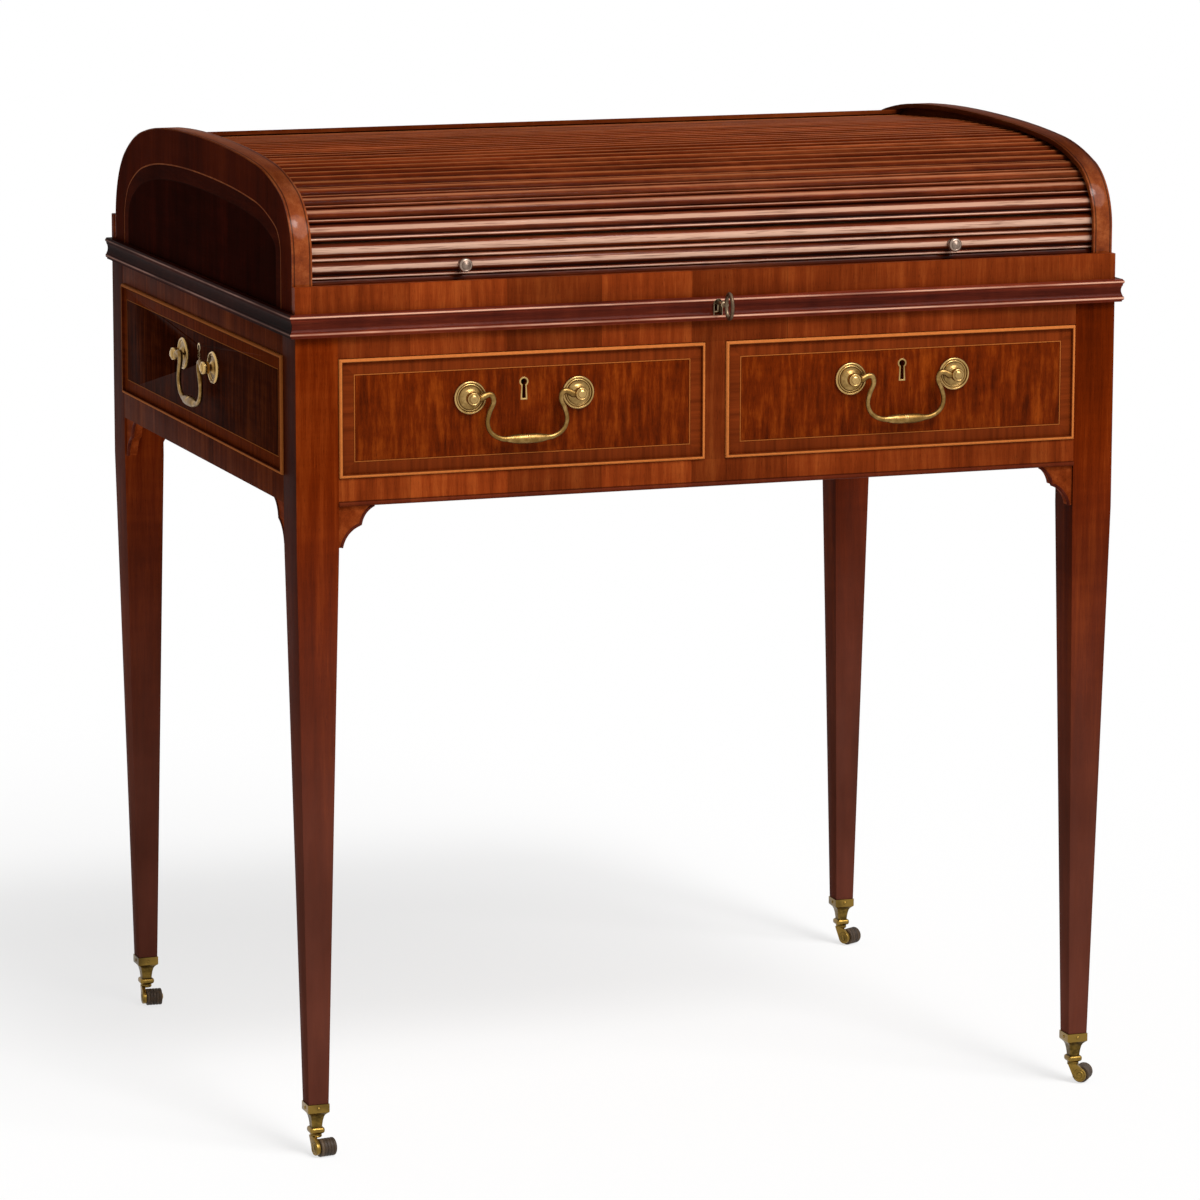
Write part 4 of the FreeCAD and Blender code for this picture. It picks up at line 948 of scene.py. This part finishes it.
def addCup(shape, corner):
    spot = hingeAt["swivel_" + corner]
    place = onDesk(spot.x / mm, spot.y / mm, 0)
    shape.add(loft([roundedSquare(half, corner, z) for z, half, corner in caster["cup"][::-1]]), place)
    for k in range(4):
        turn = Matrix.Rotation(k * math.pi / 2, 4, "Z")
        lean = Matrix.Translation((caster["cup"][0][1], 0, caster["pinHeight"]))
        lean = lean @ Matrix.Rotation(math.pi / 2, 4, "Y")
        shape.add(turned(caster["pin"], 20), place @ turn @ lean)


def hull(points):
    points = sorted(points)
    loops = []
    for line in (points, points[::-1]):
        chain = []
        for p in line:
            while len(chain) > 1 and ((chain[-1][0] - chain[-2][0]) * (p[1] - chain[-2][1])
                                      - (chain[-1][1] - chain[-2][1]) * (p[0] - chain[-2][0])) <= 0:
                chain.pop()
            chain.append(p)
        loops += chain[:-1]
    return loops


def makeFork(corner):
    place = cornerPlace(corner)
    shape = Shape()
    shape.add(turned(caster["head"], 40), place)
    shape.add(turned(caster["stem"], 24), place)
    trail, axle, boss = caster["trail"], caster["axle"], caster["boss"]
    low, high, top = caster["armTop"]
    circle = [(-trail + boss * math.cos(a), axle + boss * math.sin(a)) for a in fullTurn(40)]
    outline = hull(circle + [(low, top), (high, top)])
    near, far = caster["arm"]
    sideways = Matrix(((0, 0, 1, 0), (1, 0, 0, 0), (0, 1, 0, 0), (0, 0, 0, 1)))
    shape.add(plate(outline, near, far), place @ sideways)
    outer = Matrix.Translation((near, -trail, axle)) @ Matrix.Rotation(-math.pi / 2, 4, "Y")
    shape.add(turned(caster["bossRings"], 40), place @ outer)
    along = Matrix.Translation((0, -trail, axle)) @ Matrix.Rotation(math.pi / 2, 4, "Y")
    shape.add(turned([(caster["axleRadius"], near), (caster["axleRadius"], caster["axleEnd"])], 20),
              place @ along)
    shape.add(turned(caster["nut"], 28), place @ along @ Matrix.Translation((0, 0, caster["nutAt"])))
    makePiece("casterHorn_" + corner, shape, "fork_" + corner, "caster_bronze", ["caster_fork_" + corner],
              bevel=0.7)


wheel = {"discs": 5, "width": 15.4, "rim": [(7.85, 0.05), (8.28, 0.35), (8.42, 0.8)],
         "hub": [(2.0, 7.75), (7.0, 7.8)]}


def makeWheel(corner):
    place = cornerPlace(corner)
    along = Matrix.Translation((caster["shift"], -caster["trail"], caster["axle"]))
    along = along @ Matrix.Rotation(math.pi / 2, 4, "Y")
    profile = [(r, -x) for r, x in wheel["hub"]]
    for k in range(wheel["discs"]):
        low = -wheel["width"] / 2 + wheel["width"] * k / wheel["discs"]
        high = low + wheel["width"] / wheel["discs"]
        profile += [(r, low + x) for r, x in wheel["rim"]] + [(r, high - x) for r, x in wheel["rim"][::-1]]
    profile += wheel["hub"][::-1]
    shape = Shape().add(turned(profile, 48), place @ along)
    makePiece("casterWheel_" + corner, shape, "wheel_" + corner, "wheel_leather", ["caster_wheel_" + corner])


cups = Shape()
for corner in caster["turns"]:
    addCup(cups, corner)
    makeFork(corner)
    makeWheel(corner)
makePiece("casterCollars", cups, "case", "caster_bronze", ["caster_cups"])


# Curtain: reeds with a narrow bead between, glued on linen in links that roll over the desk
print("laying the curtain")
curtain = {
    "pitch": 16.5, "half": 389.4, "linenHalf": 372.0, "linen": 1.0, "linenEdge": 0.15, "linenGap": 0.02,
    "base": 4.0,
    "bead": (0.15, 3.8, 1.5), "reed": (4.6, 16.35, 3.6), "strip": (0.1, 6.65, 6.7), "ease": 0.5,
    # stripShadow darkens the foot strip, a painted shadow along the curtain's foot
    "boltSlot": (6.4, 2.4, 5.85), "stripShadow": 0.5, "stripLength": 6.8,
    # groove is painted shade low in each slat; worn and wornSlats make the first slats' crests paler, wear
    # together with a painted highlight
    "groove": 0.28, "body": 0.64, "sharp": 14, "worn": 1.3, "wornSlats": 3,
    "lead": (-270.7, 805.3, 90.0),
}
links = [  # name, slats, slope in degrees, hinge at its start
    ("f1", 1, 64.0, "lead"), ("f2", 1, 42.0, "f1"), ("f3", 1, 28.0, "f2"), ("f4", 1, 20.0, "f3"),
    ("f5", 1, 14.0, "f4"),
    ("f6", 3, 8.5, "f5"), ("f7", 3, 4.0, "f6"), ("top", 1, 0.0, "f7"), ("b1", 2, 0.0, "b1"),
    ("b2", 2, 0.0, "b2"),
    ("b3", 2, -0.5, "b3"), ("b4", 2, -1.0, "b4"), ("tail", 9, -3.5, "tail"),
]


def arch(start, end, low, rise, steps):  # an arc of a circle over a flat base
    half = (end - start) / 2
    radius = (half * half + rise * rise) / (2 * rise)
    sweep = math.asin(half / radius)
    return [(start + half + radius * math.sin(a), low + rise - radius * (1 - math.cos(a)))
            for a in angles(-sweep, sweep, steps)]


def slatSection():
    low, end, rise = curtain["bead"]
    start, stop, reedRise = curtain["reed"]
    base = curtain["base"]
    return ([(low, curtain["linen"]), (low, base - 0.4)] + arch(low, end, base - 0.2, rise + 0.2, 8)
            + [(end + 0.1, base - 0.5), (start - 0.1, base - 0.5)]
            + arch(start, stop, base - 0.2, reedRise + 0.2, 14)
            + [(stop, base - 0.4), (stop, curtain["linen"])])


def addBar(shape, section, place, half, ease, finish, tone, wearAndSheen=0.0, centre=0.0):
    # a bar along the desk's width, its ends drawn in a little; its crests are painted paler, partly wear
    # and partly a painted highlight, and its hollows darker with painted shade
    middle = (sum(u for u, w in section) / len(section), sum(w for u, w in section) / len(section))
    small = [(middle[0] + (u - middle[0]) * 0.94, middle[1] + (w - middle[1]) * 0.90) for u, w in section]
    rings = []
    for x, loop in ((-half, small), (-half + ease, section), (half - ease, section), (half, small)):
        rings.append([(x + centre, u, w) for u, w in loop])
    before = len(shape.tones)
    shape.add(loft([ring[::-1] for ring in rings]), place, finish, tone)
    heights = [w for u, w in section[::-1]]
    places = [u - section[0][0] for u, w in section[::-1]]
    for k in range(3 * len(section) if wearAndSheen else 0):
        i, j = k % len(section), (k + 1) % len(section)
        top = curtain["bead" if (places[i] + places[j]) / 2 < curtain["bead"][1] else "reed"][2]
        rise = min(max(((heights[i] + heights[j]) / 2 - curtain["base"]) / top, 0), 1)
        # painted shade low in the grooves, painted highlight with wear on the crests
        shape.tones[before + k] = (tone * (curtain["groove"] + curtain["body"] * rise)
                                   + wearAndSheen * rise ** (curtain["sharp"] / max(wearAndSheen, 1.0) ** 3))


def linkFrame(start, slope):
    c, s = math.cos(math.radians(slope)), math.sin(math.radians(slope))
    return framed(Vector((0, start[0], start[1])) * mm, (1, 0, 0), (0, c, s), (0, -s, c))


def slatTone(number):  # a steady, uneven tone for each slat
    return 0.82 + 0.34 * (math.sin(number * 12.9898) * 43758.5453 % 1)


def addStrip(shape, place):  # the foot strip, with a slot that the bolt shoots into
    low, end, top = curtain["strip"]
    slot, back, front = curtain["boltSlot"]
    crown = arch(low, end, top - 0.8, 0.8, 6)
    long = (curtain["half"] - slot) / 2
    # the strip's darker tone is a painted shadow
    base, tone = curtain["linen"], curtain["stripShadow"]
    for side in (-1, 1):
        addBar(shape, [(low, base)] + crown + [(end, base)], place, long, 0.05, 0, tone, 0.0,
               side * (slot + long))
    addBar(shape, [(low, front)] + crown + [(end, front)], place, slot, 0.01, 0, tone)
    addBar(shape, [(low, base), (low, back), (end, back), (end, base)], place, slot, 0.01, 0, tone)


def makeLink(name, count, start, slope, nodes, number, strip=False):
    shape = Shape()
    place = linkFrame(start, slope)
    first = 0.0
    if strip:
        addStrip(shape, place)
        first = curtain["stripLength"]
    for k in range(count):
        shift = first + curtain["pitch"] * k
        section = [(u + shift, w) for u, w in slatSection()]
        wearAndSheen = curtain["worn"] if number + k < curtain["wornSlats"] else 1.0
        addBar(shape, section, place, curtain["half"], curtain["ease"], 0, slatTone(number + k), wearAndSheen)
    length = first + curtain["pitch"] * count
    edge, top = curtain["linenEdge"], curtain["linen"] - curtain["linenGap"]
    end = length - edge
    back = [(edge, 0.0), (edge, top), (end, top), (end, 0.0)]
    addBar(shape, back, place, curtain["linenHalf"], curtain["ease"], 1, 1.0)
    makePiece("curtainLink_" + name, shape, "curtain_" + name, "tambour_mahogany", nodes,
              [finishes["tambour_mahogany"], curtainLinen])


leadY, leadZ, leadSlope = curtain["lead"]
makeLink("lead", 2, (leadY, leadZ), leadSlope, ["tambour_lead"], 0, strip=True)
number = 2
for name, count, slope, hinge in links:
    spot = hingeAt["fold_" + hinge]
    makeLink(name, count, (spot.y / mm, spot.z / mm), slope, ["tambour_" + name], number)
    number += count


# Curtain knobs
knob = {
    "x": 240.5, "y": -278.3, "z": 822.5,
    "profile": [(1.9, -3.9), (2.0, 0), (3.9, 0), (4.1, 0.7), (3.7, 1.6), (2.8, 2.6), (2.4, 4.0), (2.4, 5.6),
                (2.8, 6.6),
                (4.2, 7.4), (5.8, 8.1), (6.4, 9.0), (6.5, 10.2), (6.4, 11.4), (5.9, 12.4), (5.0, 13.0),
                (4.4, 13.1),
                (4.1, 12.9), (3.6, 13.2), (2.2, 13.8), (1.0, 14.3), (0, 14.5)],
}
knobs = Shape()
for sign in (-1, 1):
    knobs.add(turned(knob["profile"], 48), facing(sign * knob["x"], knob["y"], knob["z"]))
makePiece("curtainKnobs", knobs, "curtain_lead", "handle_brass", ["tambour_knobs"], [finishes["knob_metal"]])


# End panels: veneer laid on the outer face in bands that follow the rim
print("laying the panel veneers")
panel = {"face": caseSide, "foot": 784.8, "proud": 0.14, "gap": 14.0,
         "bands": [(1.3, 34.0, "Band"), (34.0, 35.3, "String"), (35.3, 49.0, "Inner"), (49.0, 49.7, "Line")]}


def evenLine(points, gap):  # the same line with its points a steady distance apart
    points = [Vector(point) for point in points]
    length = sum((b - a).length for a, b in zip(points, points[1:]))
    count = round(length / gap)
    line, walked, i = [points[0]], 0.0, 0
    for k in range(1, count):
        target = length * k / count
        while walked + (points[i + 1] - points[i]).length < target:
            walked += (points[i + 1] - points[i]).length
            i += 1
        line.append(points[i].lerp(points[i + 1], (target - walked) / (points[i + 1] - points[i]).length))
    return line + [points[-1]]


def rimLine(node):  # the rim's outline, front to back, smoothed
    face = {}
    for corner in frame["nodes"][node].data.vertices:
        if abs(abs(corner.co.x) / mm - panel["face"]) < 0.02:
            y, z = corner.co.y / mm, corner.co.z / mm
            if z > panel["foot"] + 0.5:
                face[round(y, 2), round(z, 2)] = (y, z)
    crest = max(face.values(), key=lambda spot: spot[1])[0]
    front = sorted((spot for spot in face.values() if spot[0] < crest), key=lambda spot: spot[1])
    back = sorted((spot for spot in face.values() if spot[0] >= crest), key=lambda spot: -spot[1])
    line = [(front[0][0], panel["foot"])] + front + back + [(back[-1][0], panel["foot"])]
    dense = softCurve([(y, z, 0) for y, z in evenLine(line, panel["gap"])], 3)
    return [(p.x, max(p.y, panel["foot"])) for p in dense]


def insetLine(line, inset):
    moved = []
    for i, (y, z) in enumerate(line):
        y0, z0 = line[max(i - 1, 0)]
        y1, z1 = line[min(i + 1, len(line) - 1)]
        ahead = Vector((y1 - y0, z1 - z0)).normalized()
        moved.append((y + ahead.y * inset, max(z - ahead.x * inset, panel["foot"])))
    moved[0] = (moved[0][0], panel["foot"])
    moved[-1] = (moved[-1][0], panel["foot"])
    return moved


def layVeneer(side, name, rings, flip):
    rings = [ring[::-1] for ring in rings] if flip else rings
    shape = Shape().add(loft(rings), onDesk())
    makePiece("panel" + name + side.title(), shape, "case", "case_mahogany", (), [shadedPanelVeneers[name]])


def makeVeneers(side, sign):
    line = rimLine("end_panel_" + side)
    x0, x1 = sign * (panel["face"] - 0.05), sign * (panel["face"] + panel["proud"])
    for start, stop, name in panel["bands"]:
        outer, inner = insetLine(line, start), insetLine(line, stop)
        rings = [[(x0, *a), (x1, *a), (x1, *b), (x0, *b)] for a, b in zip(outer, inner)]
        layVeneer(side, name, rings, sign < 0)
    loop = insetLine(line, panel["bands"][-1][1])
    kept = [point for i, point in enumerate(loop)
            if i == 0 or (Vector(point) - Vector(loop[i - 1])).length > 0.05]
    layVeneer(side, "Field", [[(x, y, z) for y, z in kept] for x in (x0, x1)], sign > 0)


for side, sign in sides:
    makeVeneers(side, sign)


# A dark moulded bead along the curved edge of each bracket
bead = {"reach": 34.0, "drop": 38.0, "upper": (0.745, 0.18), "cusp": (0.62, 0.45), "lower": (0.27, 0.655),
        "toe": 3.0,
        "radius": 1.5, "setback": 2.0, "sunk": 0.4, "legWidth": 40}


def arcThrough(a, b, c, steps):  # points of the circle through three points
    ax, ay, bx, by, cx, cy = *a, *b, *c
    d = 2 * (ax * (by - cy) + bx * (cy - ay) + cx * (ay - by))
    far = [x * x + y * y for x, y in (a, b, c)]
    ux = (far[0] * (by - cy) + far[1] * (cy - ay) + far[2] * (ay - by)) / d
    uy = (far[0] * (cx - bx) + far[1] * (ax - cx) + far[2] * (bx - ax)) / d
    radius = math.hypot(ax - ux, ay - uy)
    first, middle, last = [math.atan2(y - uy, x - ux) for x, y in (a, b, c)]
    sweep = (last - first) % (2 * math.pi)
    if (middle - first) % (2 * math.pi) > sweep:
        sweep -= 2 * math.pi
    return [(ux + radius * math.cos(a), uy + radius * math.sin(a))
            for a in angles(first, first + sweep, steps)]


def bracketEdge():
    at = lambda shares: (bead["reach"] * shares[0], -bead["drop"] * shares[1])
    first = arcThrough((bead["reach"], 0), at(bead["upper"]), at(bead["cusp"]), 14)
    second = arcThrough(at(bead["cusp"]), at(bead["lower"]), (bead["toe"], -bead["drop"]), 18)
    return [Vector((x, y, 0)) for x, y in first + second[1:]]


edgeWood = wood("beadWood",
                {"grain": 2, "tones": ((40, 12, 8), (66, 22, 13), (96, 42, 26)), "specular": 0.01})
beads = Shape()
edge = bracketEdge()
rod = tube(edge, [(0, bead["radius"]), (200, bead["radius"])], 12)
inner, foot, rearY = 363.0, 608.5, 338.5
back = bead["setback"] + bead["sunk"]
for sign in (-1, 1):
    for x, y, right, out in ((sign * inner, caseFront + back, (-sign, 0, 0), (0, -sign, 0)),
                             (sign * (caseSide - back), caseFront + bead["legWidth"], (0, 1, 0), (1, 0, 0)),
                             (sign * (caseSide - back), rearY - bead["legWidth"], (0, -1, 0), (-1, 0, 0))):
        beads.add(rod, framed(Vector((x, y, foot)) * mm, right, (0, 0, 1), out))
makePiece("bracketBeads", beads, "case", "case_mahogany", (), [edgeWood])


# Camera, floor and light
print("setting the stage")
shot = {"place": (-1.8365, -5.061, 1.4359), "yaw": 0.347, "pitch": -0.181, "roll": 0.002, "lens": 168.0}


def standCamera():
    data = bpy.data.cameras.new("photoCamera")
    data.lens, data.sensor_width = shot["lens"], 36.0
    data.clip_start, data.clip_end = 0.1, 200.0
    camera = stand("photoCamera", data)
    ahead = Vector((math.sin(shot["yaw"]) * math.cos(shot["pitch"]),
                    math.cos(shot["yaw"]) * math.cos(shot["pitch"]),
                    math.sin(shot["pitch"])))
    right = ahead.cross(Vector((0, 0, 1))).normalized()
    up = right.cross(ahead)
    turn = shot["roll"]
    right, up = right * math.cos(turn) + up * math.sin(turn), up * math.cos(turn) - right * math.sin(turn)
    facingOut = Matrix((right, up, -ahead)).transposed().to_4x4()
    camera.matrix_world = Matrix.Translation(shot["place"]) @ facingOut
    bpy.context.scene.camera = camera


stage = {"floorSize": 60.0, "floorColour": 0.95, "nearShare": 0.71, "near": 1.6, "far": 4.5, "ambient": 0.26}


def whiteSeen(start):  # 1 for the rays that show the backdrop
    rays = "Is Camera Ray", "Is Glossy Ray", "Is Transmission Ray"
    seen, glossy, clear = start.node("ShaderNodeLightPath", output=rays)
    return seen.most(glossy).most(clear)


def layFloor():
    size = stage["floorSize"]
    mesh = bpy.data.meshes.new("floor")
    mesh.from_pydata([(-size, -size, 0), (size, -size, 0), (size, size, 0), (-size, size, 0)], [],
                     [(0, 1, 2, 3)])
    floor = stand("floor", mesh)
    made = bpy.data.materials.new("studioFloor")
    made.use_nodes = True
    tree = made.node_tree
    tree.nodes.remove(tree.nodes["Principled BSDF"])
    start = Wire(tree)
    place = start.node("ShaderNodeTexCoord", output="Object")
    away = start.node("ShaderNodeVectorMath", {"operation": "LENGTH"}, {0: place}, "Value")
    share = away.between(stage["near"], stage["far"]) * (1 - stage["nearShare"]) + stage["nearShare"]
    pale = stage["floorColour"]
    diffuse = start.node("ShaderNodeBsdfDiffuse", {}, {"Color": (pale, pale, pale, 1)})
    white = start.node("ShaderNodeEmission", {}, {"Color": (1, 1, 1, 1), "Strength": 1.0})
    both = start.node("ShaderNodeMixShader", {}, {0: share * whiteSeen(start), 1: diffuse, 2: white})
    start.put(tree.nodes["Material Output"].inputs["Surface"], both)
    mesh.materials.append(made)


def lightWorld():
    world = bpy.data.worlds.new("studio")
    bpy.context.scene.world = world
    world.use_nodes = True
    tree = world.node_tree
    start = Wire(tree)
    background = tree.nodes["Background"]
    background.inputs["Color"].default_value = (1, 1, 1, 1)
    start.put(background.inputs["Strength"], whiteSeen(start) * (1 - stage["ambient"]) + stage["ambient"])


lamps = {  # direction that each lamp stands in, its strength and its spread in degrees
    "keyLamp": {"toward": (0.28, -0.62, 0.73), "strength": 2.2, "spread": 40.0},
    "glintLamp": {"toward": (0.14, -0.58, 0.80), "strength": 1.1, "spread": 13.0},
}


def hangLamps():
    for name, lamp in lamps.items():
        data = bpy.data.lights.new(name, "SUN")
        data.energy, data.angle = lamp["strength"], math.radians(lamp["spread"])
        made = stand(name, data)
        toward = Vector(lamp["toward"]).normalized()
        aim = toward.to_track_quat("Z", "Y").to_matrix().to_4x4()
        made.matrix_world = Matrix.Translation(toward * 4) @ aim


standCamera()
layFloor()
lightWorld()
hangLamps()
bpy.context.scene.view_settings.view_transform = "Standard"

print("done")
